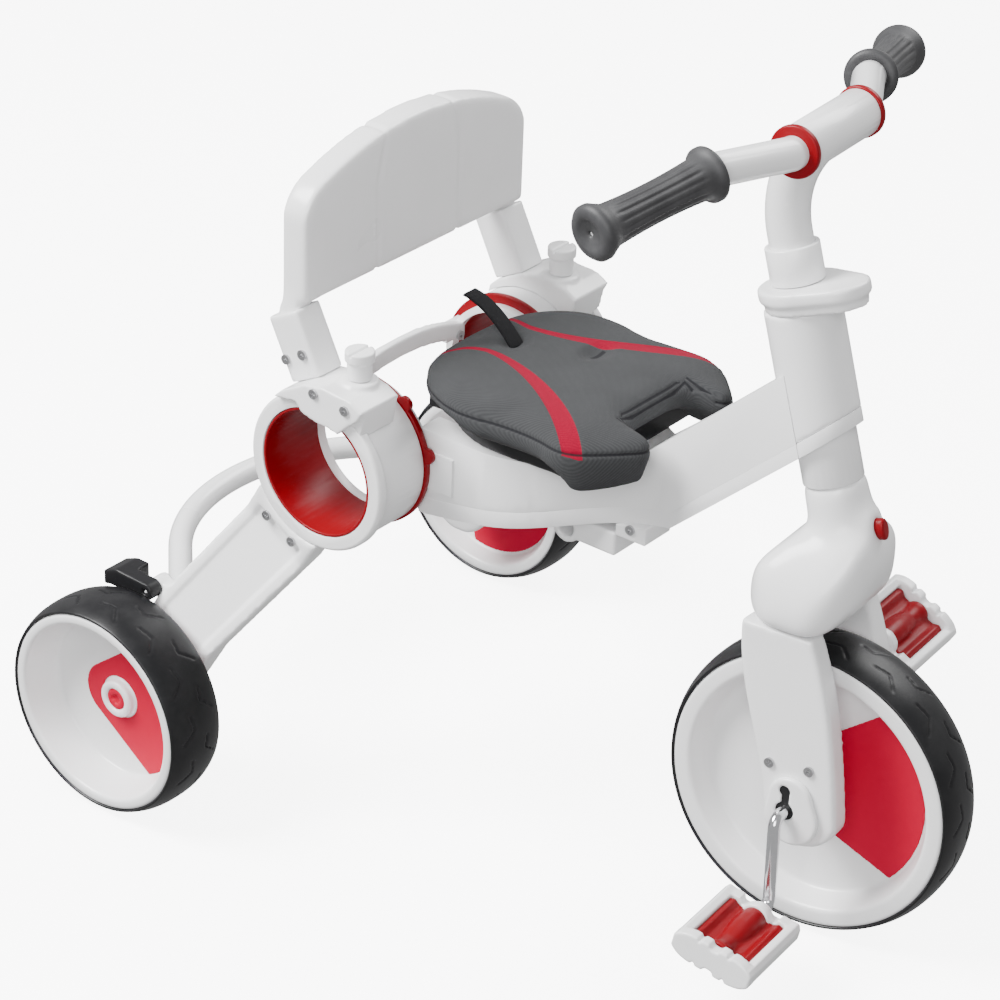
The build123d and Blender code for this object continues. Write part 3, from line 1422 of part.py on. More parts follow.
os.makedirs("parts", exist_ok=True)
for label, part in pieces.items():
    placed = Pos(SHIFT_X, 0, 0) * part
    placed.label = label
    export_step(placed, f"parts/{label}.step")
print(len(pieces), "pieces, shift", round(SHIFT_X, 3))
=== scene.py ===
"""Shapes, finishes, light and camera for the children's tricycle.

Lengths are metres.  +X points forward, +Y to the rider's left and +Z up, with the origin
on the ground at the middle of the footprint.  The sizes and places of the pieces come
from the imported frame; the sub-assemblies below are a class each.
"""

import json
import logging
import math
from dataclasses import dataclass
from enum import Enum
from typing import Any, Callable, Sequence, Union

import bmesh
import bpy
import numpy as np
from mathutils import Matrix, Vector

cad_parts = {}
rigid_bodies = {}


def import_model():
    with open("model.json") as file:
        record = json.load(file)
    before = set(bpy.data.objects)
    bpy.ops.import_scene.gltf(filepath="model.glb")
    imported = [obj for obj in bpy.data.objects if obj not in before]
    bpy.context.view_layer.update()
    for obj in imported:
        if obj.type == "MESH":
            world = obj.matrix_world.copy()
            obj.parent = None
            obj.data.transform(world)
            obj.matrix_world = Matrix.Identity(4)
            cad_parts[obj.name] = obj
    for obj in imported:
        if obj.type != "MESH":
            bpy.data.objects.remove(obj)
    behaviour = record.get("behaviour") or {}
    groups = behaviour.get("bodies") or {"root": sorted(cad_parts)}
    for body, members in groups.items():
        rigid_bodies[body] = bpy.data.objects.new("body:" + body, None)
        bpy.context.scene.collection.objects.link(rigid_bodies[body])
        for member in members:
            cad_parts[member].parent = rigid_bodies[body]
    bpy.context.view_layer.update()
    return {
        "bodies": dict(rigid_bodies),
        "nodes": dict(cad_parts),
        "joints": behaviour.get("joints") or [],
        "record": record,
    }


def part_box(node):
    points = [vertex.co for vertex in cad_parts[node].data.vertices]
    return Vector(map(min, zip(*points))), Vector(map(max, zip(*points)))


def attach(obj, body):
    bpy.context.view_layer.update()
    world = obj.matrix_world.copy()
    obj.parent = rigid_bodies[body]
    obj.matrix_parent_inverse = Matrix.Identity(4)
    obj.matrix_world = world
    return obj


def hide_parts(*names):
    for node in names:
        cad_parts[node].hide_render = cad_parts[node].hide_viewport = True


log = logging.getLogger("tricycle")

MM = 0.001
TURN = 2 * math.pi
FAR = 10 * MM  # a distance that no seam or inset reaches
SAME = 1e-6  # points closer than this are one
FINE = 1e-9  # keeps a length away from zero
CORNER_SHARE = 0.45  # most of a side that one rounded corner takes
SIDES = ("right", "left")
Colour = tuple[float, float, float, float]
Points = Sequence[tuple[float, float]]


# ---- shader expressions -----------------------------------------------------------------
class Value:
    """A number socket that takes part in Python expressions; each step adds a Math node."""

    def __init__(self, graph: "Graph", socket: bpy.types.NodeSocket) -> None:
        """Wrap a socket of a graph."""
        self.graph = graph
        self.socket = socket

    def math(self, operation: str, *others: "Operand") -> "Value":
        """Feed this value, then the others, to a Math node."""
        return self.graph.node("ShaderNodeMath", {"operation": operation}, dict(enumerate((self, *others))))

    def _flipped(self, operation: str, other: "Operand") -> "Value":
        """Feed the other value first."""
        return self.graph.node("ShaderNodeMath", {"operation": operation}, {0: other, 1: self})

    def __add__(self, other: "Operand") -> "Value":
        """self + other"""
        return self.math("ADD", other)

    def __radd__(self, other: "Operand") -> "Value":
        """other + self"""
        return self._flipped("ADD", other)

    def __sub__(self, other: "Operand") -> "Value":
        """self - other"""
        return self.math("SUBTRACT", other)

    def __rsub__(self, other: "Operand") -> "Value":
        """other - self"""
        return self._flipped("SUBTRACT", other)

    def __mul__(self, other: "Operand") -> "Value":
        """self * other"""
        return self.math("MULTIPLY", other)

    def __rmul__(self, other: "Operand") -> "Value":
        """other * self"""
        return self._flipped("MULTIPLY", other)

    def sine(self) -> "Value":
        """Sine of this value in radians."""
        return self.math("SINE")

    def between(self, low: float, high: float) -> "Value":
        """0 at low and 1 at high, smooth between them."""
        settings = {"interpolation_type": "SMOOTHSTEP", "clamp": True}
        values = {"Value": self, "From Min": low, "From Max": high}
        return self.graph.node("ShaderNodeMapRange", settings, values)


Operand = Union[Value, float, int, Sequence[float]]


class Graph:
    """The node tree of one material."""

    def __init__(self, name: str) -> None:
        """Start a material with nothing but its coordinates."""
        self.material = bpy.data.materials.new(name)
        self.material.use_nodes = True
        self.tree = self.material.node_tree
        self.tree.nodes.clear()
        self.place = self.node("ShaderNodeTexCoord", output="Object")

    def node(
        self,
        kind: str,
        settings: dict[str, Any] | None = None,
        values: dict[Any, Operand] | None = None,
        output: int | str = 0,
    ) -> Value:
        """Add a node.

        Args:
            kind: The node's Blender type.
            settings: Its own settings, set before its sockets.
            values: A number, a vector or another node's value for each named input.
            output: The output that is wanted.

        Returns:
            The node's output.
        """
        made = self.tree.nodes.new(kind)
        for key, value in (settings or {}).items():
            setattr(made, key, value)
        for key, value in (values or {}).items():
            if isinstance(value, Value):
                self.tree.links.new(value.socket, made.inputs[key])
            else:
                made.inputs[key].default_value = value
        return Value(self, made.outputs[output])

    def noise(self, size: float, detail: float = 2.0, rough: float = 0.5) -> Value:
        """Noise whose blotches are about size metres across."""
        values = {"Vector": self.place, "Scale": 1 / size, "Detail": detail, "Roughness": rough}
        return self.node("ShaderNodeTexNoise", {}, values)

    def axis(self, name: str) -> Value:
        """One coordinate of the surface point: "X", "Y" or "Z"."""
        return self.node("ShaderNodeSeparateXYZ", {}, {0: self.place}, output=name)

    def mixed(self, factor: Operand, first: Any, second: Any) -> Value:
        """Two colours blended by a factor."""
        values = {0: factor, 6: first, 7: second}
        return self.node("ShaderNodeMix", {"data_type": "RGBA"}, values, output=2)

    def bump(self, height: Value, depth: float, strength: float = 1.0) -> Value:
        """A normal that is tilted by a height between 0 and 1, depth metres deep."""
        values = {"Height": height, "Distance": depth, "Strength": strength}
        return self.node("ShaderNodeBump", {}, values)

    def attribute(self, name: str) -> Value:
        """A number stored on the mesh."""
        return self.node("ShaderNodeAttribute", {"attribute_name": name}, output="Fac")

    def finish(self, **sockets: Operand) -> bpy.types.Material:
        """Close the graph with a Principled shader.

        Args:
            sockets: Values for its sockets, with _ for each space in a name.

        Returns:
            The finished material.
        """
        named = {key.replace("_", " "): value for key, value in sockets.items()}
        shader = self.node("ShaderNodeBsdfPrincipled", {}, named)
        end = self.tree.nodes.new("ShaderNodeOutputMaterial")
        self.tree.links.new(shader.socket, end.inputs["Surface"])
        return self.material


def tinted(colour: Colour, amount: float) -> Colour:
    """A colour made lighter or darker by a factor."""
    return tuple(channel * amount for channel in colour[:3]) + (1.0,)


# ---- finishes ---------------------------------------------------------------------------
@dataclass(frozen=True)
class MouldedPlastic:
    """Injection-moulded plastic: faint flow marks, a fine grain and uneven gloss."""

    name: str
    colour: Colour
    roughness: float = 0.3
    coat: float = 0.25
    specular: float = 0.5
    grain: float = 0.25 * MM
    grain_depth: float = 0.012 * MM

    def material(self) -> bpy.types.Material:
        """Build the node graph."""
        g = Graph(self.name)
        flow = g.noise(60 * MM, 3)
        fine = g.noise(self.grain, 2)
        scuffs = g.noise(9 * MM, 5, 0.7).between(0.56, 0.72)
        base = g.mixed(flow, tinted(self.colour, 0.96), tinted(self.colour, 1.02))
        worn = g.mixed(scuffs * 0.25, base, tinted(self.colour, 0.9))
        rough = self.roughness + (flow - 0.5) * 0.12 + scuffs * 0.06
        return g.finish(
            Base_Color=worn,
            Roughness=rough,
            Coat_Weight=self.coat,
            Coat_Roughness=0.12,
            Specular_IOR_Level=self.specular,
            Normal=g.bump(fine, self.grain_depth),
        )


@dataclass(frozen=True)
class Enamel:
    """Sprayed enamel on a steel tube: a faint orange peel under a clear gloss."""

    name: str
    colour: Colour

    def material(self) -> bpy.types.Material:
        """Build the node graph."""
        g = Graph(self.name)
        peel = g.noise(2.2 * MM, 2)
        cloud = g.noise(45 * MM, 3)
        base = g.mixed(cloud, tinted(self.colour, 0.97), tinted(self.colour, 1.01))
        return g.finish(
            Base_Color=base,
            Roughness=0.2 + cloud * 0.12,
            Coat_Weight=0.6,
            Coat_Roughness=0.06,
            Normal=g.bump(peel, 0.02 * MM, 0.6),
        )


@dataclass(frozen=True)
class Rubber:
    """Matte rubber with a dusty bloom."""

    name: str
    colour: Colour
    bloom: Colour
    roughness: float
    pore: float = 0.5 * MM

    def material(self) -> bpy.types.Material:
        """Build the node graph."""
        g = Graph(self.name)
        dust = g.noise(22 * MM, 5, 0.62)
        pores = g.noise(self.pore, 3)
        base = g.mixed(dust.between(0.35, 0.75), self.colour, self.bloom)
        return g.finish(
            Base_Color=base,
            Roughness=self.roughness + (dust - 0.5) * 0.22,
            Specular_IOR_Level=0.3,
            Normal=g.bump(pores, 0.05 * MM, 0.7),
        )


@dataclass(frozen=True)
class Metal:
    """Bare or plated metal with fine rubbing marks."""

    name: str
    colour: Colour
    roughness: float

    def material(self) -> bpy.types.Material:
        """Build the node graph."""
        g = Graph(self.name)
        smear = g.noise(6 * MM, 4)
        rubs = g.noise(0.6 * MM, 3)
        base = g.mixed(smear, tinted(self.colour, 0.9), self.colour)
        return g.finish(
            Base_Color=base,
            Metallic=1.0,
            Roughness=self.roughness + (smear - 0.5) * 0.16,
            Normal=g.bump(rubs, 0.01 * MM, 0.5),
        )


@dataclass(frozen=True)
class SeatCloth:
    """Grey spacer mesh with red insets, and painted shade along the seams and in the belt slots, read from
    the mesh's attributes.
    """

    name: str = "seat_cloth"
    grey: Colour = (0.05, 0.051, 0.053, 1)
    dark: Colour = (0.018, 0.019, 0.02, 1)
    red: Colour = (0.25, 0.0, 0.02, 1)
    # The near-black colour below is painted shade for the seam grooves and the belt slots, which are not
    # cut.
    seam_shade: Colour = (0.012, 0.012, 0.014, 1)
    cell: float = 1.5 * MM

    def material(self) -> bpy.types.Material:
        """Build the node graph."""
        g = Graph(self.name)
        x, y, z = g.axis("X"), g.axis("Y"), g.axis("Z")
        pitch = TURN / self.cell
        rows = ((x + z * 0.6) * pitch).sine()
        courses = ((y + x * 0.5) * pitch * 1.1).sine()
        weave = (rows * courses) * 0.5 + 0.5
        fibres = g.noise(0.35 * MM, 3)
        patches = g.noise(30 * MM, 3)
        mesh_tint = g.mixed(weave * 0.75 + fibres * 0.35, self.dark, self.grey)
        cloth = g.mixed(patches * 0.35, mesh_tint, tinted(self.grey, 1.25))
        inset_tint = g.mixed(weave * 0.6 + 0.2, tinted(self.red, 0.72), self.red)
        inset = 1 - g.attribute("inset").between(-0.35 * MM, 0.35 * MM)
        # Painted shade: the seams and the belt slots are darkened towards the near-black seam colour.
        seam = 1 - g.attribute("seam").between(0.45 * MM, 1.2 * MM)
        coloured = g.mixed(inset, cloth, inset_tint)
        seam_shaded = g.mixed(seam * 0.85, coloured, self.seam_shade)
        height = weave * 0.7 + fibres * 0.3
        return g.finish(
            Base_Color=seam_shaded,
            Roughness=0.86 - weave * 0.08,
            Sheen_Weight=0.03,
            Sheen_Roughness=0.5,
            Specular_IOR_Level=0.08,
            Normal=g.bump(height, 0.35 * MM, 0.8),
        )


@dataclass(frozen=True)
class Webbing:
    """Woven strap: ribs across it, darker between them."""

    name: str = "strap_webbing"
    colour: Colour = (0.006, 0.006, 0.007, 1)
    rib: float = 1.3 * MM

    def material(self) -> bpy.types.Material:
        """Build the node graph."""
        g = Graph(self.name)
        ribs = ((g.axis("X") * 1.3 - g.axis("Z")) * (TURN / self.rib)).sine() * 0.5 + 0.5
        fuzz = g.noise(0.4 * MM, 3)
        base = g.mixed(ribs * 0.6 + fuzz * 0.4, tinted(self.colour, 0.5), tinted(self.colour, 1.6))
        return g.finish(
            Base_Color=base,
            Roughness=0.7 + fuzz * 0.15,
            Specular_IOR_Level=0.2,
            Normal=g.bump(ribs, 0.25 * MM, 0.8),
        )


class Look(Enum):
    """The finishes that the tricycle uses, each with the record's slot that it stands for."""

    WHITE = "white_plastic"
    WHITE_PAINT = "white_paint"
    RED = "red_plastic"
    WEDGE = "wedge_red"
    BLACK = "black_plastic"
    TYRE = "tyre"
    GRIP = "grip_rubber"
    CLOTH = "grey_fabric"
    STRAP = "webbing"
    CHROME = "chrome"
    STEEL = "screw_steel"


FINISHES: dict[Look, Any] = {
    Look.WHITE: MouldedPlastic("white_moulding", (0.86, 0.86, 0.865, 1)),
    Look.WHITE_PAINT: Enamel("white_enamel", (0.85, 0.85, 0.855, 1)),
    Look.RED: MouldedPlastic("red_moulding", (0.2, 0.0, 0.004, 1), 0.36, 0.0, 0.2),
    Look.WEDGE: MouldedPlastic("wedge_moulding", (0.5, 0.0, 0.03, 1), 0.45, 0.0, 0.12),
    Look.BLACK: MouldedPlastic("black_moulding", (0.008, 0.008, 0.009, 1), 0.42, 0.0, 0.3),
    Look.TYRE: Rubber("foam_tyre", (0.007, 0.007, 0.008, 1), (0.014, 0.014, 0.015, 1), 0.4),
    Look.GRIP: Rubber("grip_rubber", (0.036, 0.036, 0.038, 1), (0.055, 0.055, 0.057, 1), 0.5),
    Look.CLOTH: SeatCloth(),
    Look.STRAP: Webbing(),
    Look.CHROME: Metal("chrome_plate", (0.72, 0.72, 0.74, 1), 0.14),
    Look.STEEL: Metal("zinc_screws", (0.5, 0.5, 0.51, 1), 0.3),
}


# ---- shop: meshes from the frame's solids -------------------------------------------------
class Shop:
    """Tools that every sub-assembly shares: copies of the frame's solids, and dressing."""

    crease = math.radians(32)
    flat = math.radians(0.6)

    def __init__(self, frame: dict[str, Any]) -> None:
        """Read the frame and build each finish once."""
        self.frame = frame
        self.joints = {j["name"]: j for j in frame["record"]["behaviour"]["joints"]}
        self.looks = {look: finish.material() for look, finish in FINISHES.items()}

    def body_of(self, node: str) -> str:
        """The body that a CAD node belongs to."""
        bodies = self.frame["record"]["behaviour"]["bodies"]
        return next(body for body, nodes in bodies.items() if node in nodes)

    def copied(self, node: str) -> bmesh.types.BMesh:
        """A CAD node's mesh with its loose triangles merged."""
        bm = bmesh.new()
        bm.from_mesh(self.frame["nodes"][node].data)
        bmesh.ops.remove_doubles(bm, verts=bm.verts[:], dist=SAME)
        return bm

    def piece(
        self, name: str, bm: bmesh.types.BMesh, look: Look, body: str, node: str, soft: bool = True
    ) -> bpy.types.Object:
        """Turn a bmesh into a finished piece.

        Args:
            name: The piece's name.
            bm: Its mesh, which is used up.
            look: Its finish.
            body: The body that it rides on.
            node: The CAD node that it stands for.
            soft: Whether every edge is shaded smooth, and not only those below the crease angle.

        Returns:
            The new object.
        """
        for edge in bm.edges:
            edge.smooth = soft or edge.calc_face_angle(0.0) <= self.crease
        for face in bm.faces:
            face.smooth = True
        mesh = bpy.data.meshes.new(name)
        bm.to_mesh(mesh)
        bm.free()
        obj = bpy.data.objects.new(name, mesh)
        bpy.context.scene.collection.objects.link(obj)
        mesh.materials.append(self.looks[look])
        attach(obj, body)
        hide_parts(node)
        log.info("%s: %d faces on %s", name, len(mesh.polygons), body)
        return obj

    def crisp(self, node: str, look: Look) -> bpy.types.Object:
        """A CAD node as it is, with smooth shading on its round faces."""
        return self.piece(f"{node}_part", self.copied(node), look, self.body_of(node), node, soft=False)

    def remeshed(self, bm: bmesh.types.BMesh, voxel: float) -> bmesh.types.BMesh:
        """An even quad mesh of a closed shape, for rounding or cloth."""
        mesh = bpy.data.meshes.new("remesh")
        bm.to_mesh(mesh)
        bm.free()
        obj = bpy.data.objects.new("remesh", mesh)
        bpy.context.scene.collection.objects.link(obj)
        modifier = obj.modifiers.new("even", "REMESH")
        modifier.mode = "VOXEL"
        modifier.voxel_size = voxel
        made = evaluated(obj)
        out = bmesh.new()
        out.from_mesh(made)
        bpy.data.objects.remove(obj)
        bpy.data.meshes.remove(mesh)
        bpy.data.meshes.remove(made)
        return out

    def moulded(
        self,
        node: str,
        look: Look,
        voxel: float = 2 * MM,
        rounds: int = 4,
        shape: Callable[[bmesh.types.BMesh], None] | None = None,
        refill: float = 0.0,
    ) -> bpy.types.Object:
        """A CAD node with the soft edges of a moulding.

        Args:
            node: The CAD node.
            look: Its finish.
            voxel: Mesh size.
            rounds: How many times the surface is relaxed, which rounds its edges.
            shape: A last change to the mesh, such as a groove.
            refill: How much of the size lost to the relaxing is given back, from 0 to 1.

        Returns:
            The new piece, which replaces the node.
        """
        bm = self.remeshed(self.copied(node), voxel)
        relax(bm, rounds)
        if refill:
            self.refill(bm, *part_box(node), refill)
        if shape:
            shape(bm)
        return self.piece(f"{node}_part", bm, look, self.body_of(node), node)

    def refill(self, bm: bmesh.types.BMesh, low: Vector, high: Vector, share: float) -> None:
        """Stretch a relaxed mesh back towards the box that it came from."""
        points = np.array([v.co for v in bm.verts])
        here_low, here_high = points.min(axis=0), points.max(axis=0)
        want_low = here_low + (np.array(low) - here_low) * share
        want_high = here_high + (np.array(high) - here_high) * share
        scale = (want_high - want_low) / (here_high - here_low)
        put(bm, want_low + (points - here_low) * scale)

    def eased(self, node: str, look: Look, width: float = 0.8 * MM, segments: int = 2) -> bpy.types.Object:
        """A CAD node whose sharp edges are eased by a small bevel.

        Args:
            node: The CAD node.
            look: Its finish.
            width: Width of the bevel.
            segments: Its divisions.

        Returns:
            The new piece, which replaces the node.
        """
        bm = self.copied(node)
        bmesh.ops.dissolve_limit(bm, angle_limit=self.flat, verts=bm.verts[:], edges=bm.edges[:])
        obj = self.piece(f"{node}_part", bm, look, self.body_of(node), node)
        bevel = obj.modifiers.new("ease", "BEVEL")
        bevel.width = width
        bevel.segments = segments
        bevel.limit_method = "ANGLE"
        bevel.angle_limit = self.crease
        bevel.use_clamp_overlap = True
        bevel.harden_normals = True
        return obj

    def axis_frame(self, joint: str) -> Matrix:
        """The place and turn of a wheel whose axle lies along Y before it is placed."""
        record = self.joints[joint]
        turn = Vector((0, 1, 0)).rotation_difference(Vector(record["axis"])).to_matrix().to_4x4()
        return Matrix.Translation(record["pos_m"]) @ turn


def prism(bm: bmesh.types.BMesh, outline: Points, start: float, end: float) -> None:
    """Add a closed (x, z) outline drawn out along Y."""
    face = bm.faces.new([bm.verts.new((x, start, z)) for x, z in outline])
    made = bmesh.ops.extrude_face_region(bm, geom=[face])
    moved = [v for v in made["geom"] if isinstance(v, bmesh.types.BMVert)]
    bmesh.ops.translate(bm, verts=moved, vec=(0, end - start, 0))


def both_ways(outline: Points) -> tuple[Points, Points]:
    """An (x, z) outline and its mirror image, both wound alike."""
    return outline, [(-x, z) for x, z in reversed(outline)]


def evaluated(obj: bpy.types.Object) -> bpy.types.Mesh:
    """A copy of an object's mesh with its modifiers applied."""
    return bpy.data.meshes.new_from_object(obj.evaluated_get(bpy.context.evaluated_depsgraph_get()))


def relax(bm: bmesh.types.BMesh, rounds: int) -> None:
    """Even out a surface, which rounds its edges."""
    for _ in range(rounds):
        bmesh.ops.smooth_vert(
            bm, verts=bm.verts[:], factor=0.5, use_axis_x=True, use_axis_y=True, use_axis_z=True
        )


def put(bm: bmesh.types.BMesh, points: np.ndarray) -> None:
    """Move a mesh's vertices to the given points."""
    for vert, place in zip(bm.verts, points):
        vert.co = place


def spun(profile: Points, steps: int) -> bmesh.types.BMesh:
    """Spin a closed (radius, y) profile round the Y axis.

    Args:
        profile: The section's corners in order.
        steps: Divisions of the full turn.

    Returns:
        The closed ring, its faces outwards.
    """
    bm = bmesh.new()
    verts = [bm.verts.new((radius, y, 0)) for radius, y in profile]
    edges = [bm.edges.new((verts[i - 1], verts[i])) for i in range(len(verts))]
    bmesh.ops.spin(
        bm, geom=verts + edges, cent=(0, 0, 0), axis=(0, 1, 0), angle=TURN, steps=steps, use_merge=True
    )
    bmesh.ops.remove_doubles(bm, verts=bm.verts[:], dist=SAME)
    bmesh.ops.recalc_face_normals(bm, faces=bm.faces[:])
    return bm


def rounded_corner(points: Points, radius: float, steps: int = 4) -> Points:
    """A closed outline with each corner replaced by a small curve of at most the given reach."""
    out = []
    for index, here in enumerate(points):
        corner = Vector(here)
        back = Vector(points[index - 1]) - corner
        ahead = Vector(points[(index + 1) % len(points)]) - corner
        reach = min(radius, CORNER_SHARE * min(back.length, ahead.length))
        start, end = corner + back.normalized() * reach, corner + ahead.normalized() * reach
        for step in range(steps + 1):
            t = step / steps
            out.append(tuple((1 - t) ** 2 * start + 2 * t * (1 - t) * corner + t * t * end))
    return out


def smoothstep(low: float, high: float, value: np.ndarray) -> np.ndarray:
    """0 below low and 1 above high, smooth between them."""
    t = np.clip((value - low) / (high - low), 0, 1)
    return t * t * (3 - 2 * t)


# ---- wheels -------------------------------------------------------------------------------
@dataclass
class Wheel:
    """A foam tyre with slash grooves on a dished rim; the red wedges are pieces of their own."""

    joint: str
    body: str
    tyre: str
    rim: str
    radius: float
    width: float
    lip: float
    disc_radius: float
    disc: tuple[float, float]
    hub: tuple[float, float, float]
    bore: float
    outside: float = 1.0
    steps: int = 440
    rim_steps: int = 160
    rows: int = 44
    corner: float = 3.2 * MM
    side_gap: float = 0.3 * MM
    foot_gap: float = 0.4 * MM
    crown: float = 5.0 * MM
    bead: float = 1.5 * MM
    groove_depth: float = 1.1 * MM
    groove_half: float = 0.9 * MM
    repeats: int = 14

    def groove_gap(self, angle: np.ndarray, across: np.ndarray) -> np.ndarray:
        """Distance from each point of the tread to the nearest groove.

        Args:
            angle: Angle round the wheel.
            across: Place across the tread, from its middle.

        Returns:
            The distances in metres.
        """
        pitch = TURN * self.radius / self.repeats
        along = (angle / TURN * self.repeats) % 1.0 * pitch
        half = self.width / 2
        strokes = (
            ((0.06, -0.62), (0.3, -0.2)),
            ((0.3, -0.2), (0.62, -0.3)),
            ((0.56, 0.66), (0.8, 0.22)),
            ((0.8, 0.22), (1.06, 0.3)),
        )
        gap = np.full(along.shape, 1.0)
        for (u0, v0), (u1, v1) in strokes:
            start = np.array((u0 * pitch, v0 * half))
            run = np.array(((u1 - u0) * pitch, (v1 - v0) * half))
            for shift in (-pitch, 0.0, pitch):
                rel = np.stack((along + shift - start[0], across - start[1]), axis=-1)
                t = np.clip(rel @ run / (run @ run), 0, 1)
                gap = np.minimum(gap, np.linalg.norm(rel - t[..., None] * run, axis=-1))
        return gap

    def tyre_mesh(self) -> bmesh.types.BMesh:
        """The tyre, crowned and grooved."""
        half = self.width / 2
        edge = self.radius - self.crown
        inner = edge - self.bead
        arc = []
        for step in range(self.rows + 1):
            y = -half + self.width * step / self.rows
            rise = 1 - abs(y / half) ** 2.6
            arc.append((edge + self.crown * rise, y))
        profile = arc + [(inner, half - self.foot_gap), (inner, self.foot_gap - half)]
        bm = spun(profile, self.steps)
        verts = bm.verts[:]
        points = np.array([v.co for v in verts])
        radial = np.hypot(points[:, 0], points[:, 2])
        tread = radial > inner + 0.5 * MM
        gap = self.groove_gap(np.arctan2(points[:, 2], points[:, 0]), points[:, 1])
        cut = 1 - smoothstep(0.25 * self.groove_half, self.groove_half, gap)
        depth = self.groove_depth * cut * tread
        for vert, sink, r in zip(verts, depth, radial):
            if sink > 0:
                vert.co.x *= 1 - sink / r
                vert.co.z *= 1 - sink / r
        return bm

    def rim_mesh(self) -> bmesh.types.BMesh:
        """The dished rim: lips, cones, disc and hub, with rounded corners."""
        outer = self.radius - self.crown - self.bead
        half = self.width / 2 - self.side_gap
        lip = outer - self.lip
        disc_out, disc_in = self.disc
        hub_out, hub_in, hub_radius = self.hub
        profile = [
            (outer, -half), (lip, -half), (self.disc_radius, disc_out), (hub_radius, disc_out),
            (hub_radius, hub_out), (self.bore, hub_out), (self.bore, hub_in), (hub_radius, hub_in),
            (hub_radius, disc_in), (self.disc_radius, disc_in), (lip, half), (outer, half),
        ]
        rounded = rounded_corner(profile, self.corner)
        return spun([(r, y * self.outside) for r, y in rounded], self.rim_steps)

    def build(self, shop: Shop) -> None:
        """Make both pieces and put them on the axle."""
        place = shop.axis_frame(self.joint)
        for name, bm, look, node in (
            (f"{self.tyre}_tread", self.tyre_mesh(), Look.TYRE, self.tyre),
            (f"{self.rim}_dish", self.rim_mesh(), Look.WHITE, self.rim),
        ):
            bm.transform(place)
            bmesh.ops.recalc_face_normals(bm, faces=bm.faces[:])
            shop.piece(name, bm, look, self.body, node)


def rear_wheel(side: str, outside: float) -> Wheel:
    """A rear wheel; outside is 1 for the right one and -1 for the left."""
    return Wheel(
        joint=f"rear_wheel_{side}_spin", body=f"rear_wheel_{side}", tyre=f"rear_tyre_{side}",
        rim=f"rear_rim_{side}", radius=86 * MM, width=51 * MM, lip=8.5 * MM, disc_radius=65 * MM,
        disc=(5.4 * MM, 9.4 * MM), hub=(-1.6 * MM, 24.5 * MM, 15 * MM), bore=8.5 * MM, outside=outside,
    )


def front_wheel() -> Wheel:
    """The driven front wheel."""
    return Wheel(
        joint="front_wheel_spin", body="front_wheel", tyre="front_tyre", rim="front_rim",
        radius=114.3 * MM, width=47.5 * MM, lip=13 * MM, disc_radius=87 * MM, disc=(-5 * MM, 5 * MM),
        hub=(-30.6 * MM, 30.6 * MM, 14 * MM), bore=4.6 * MM, repeats=18, steps=560,
    )


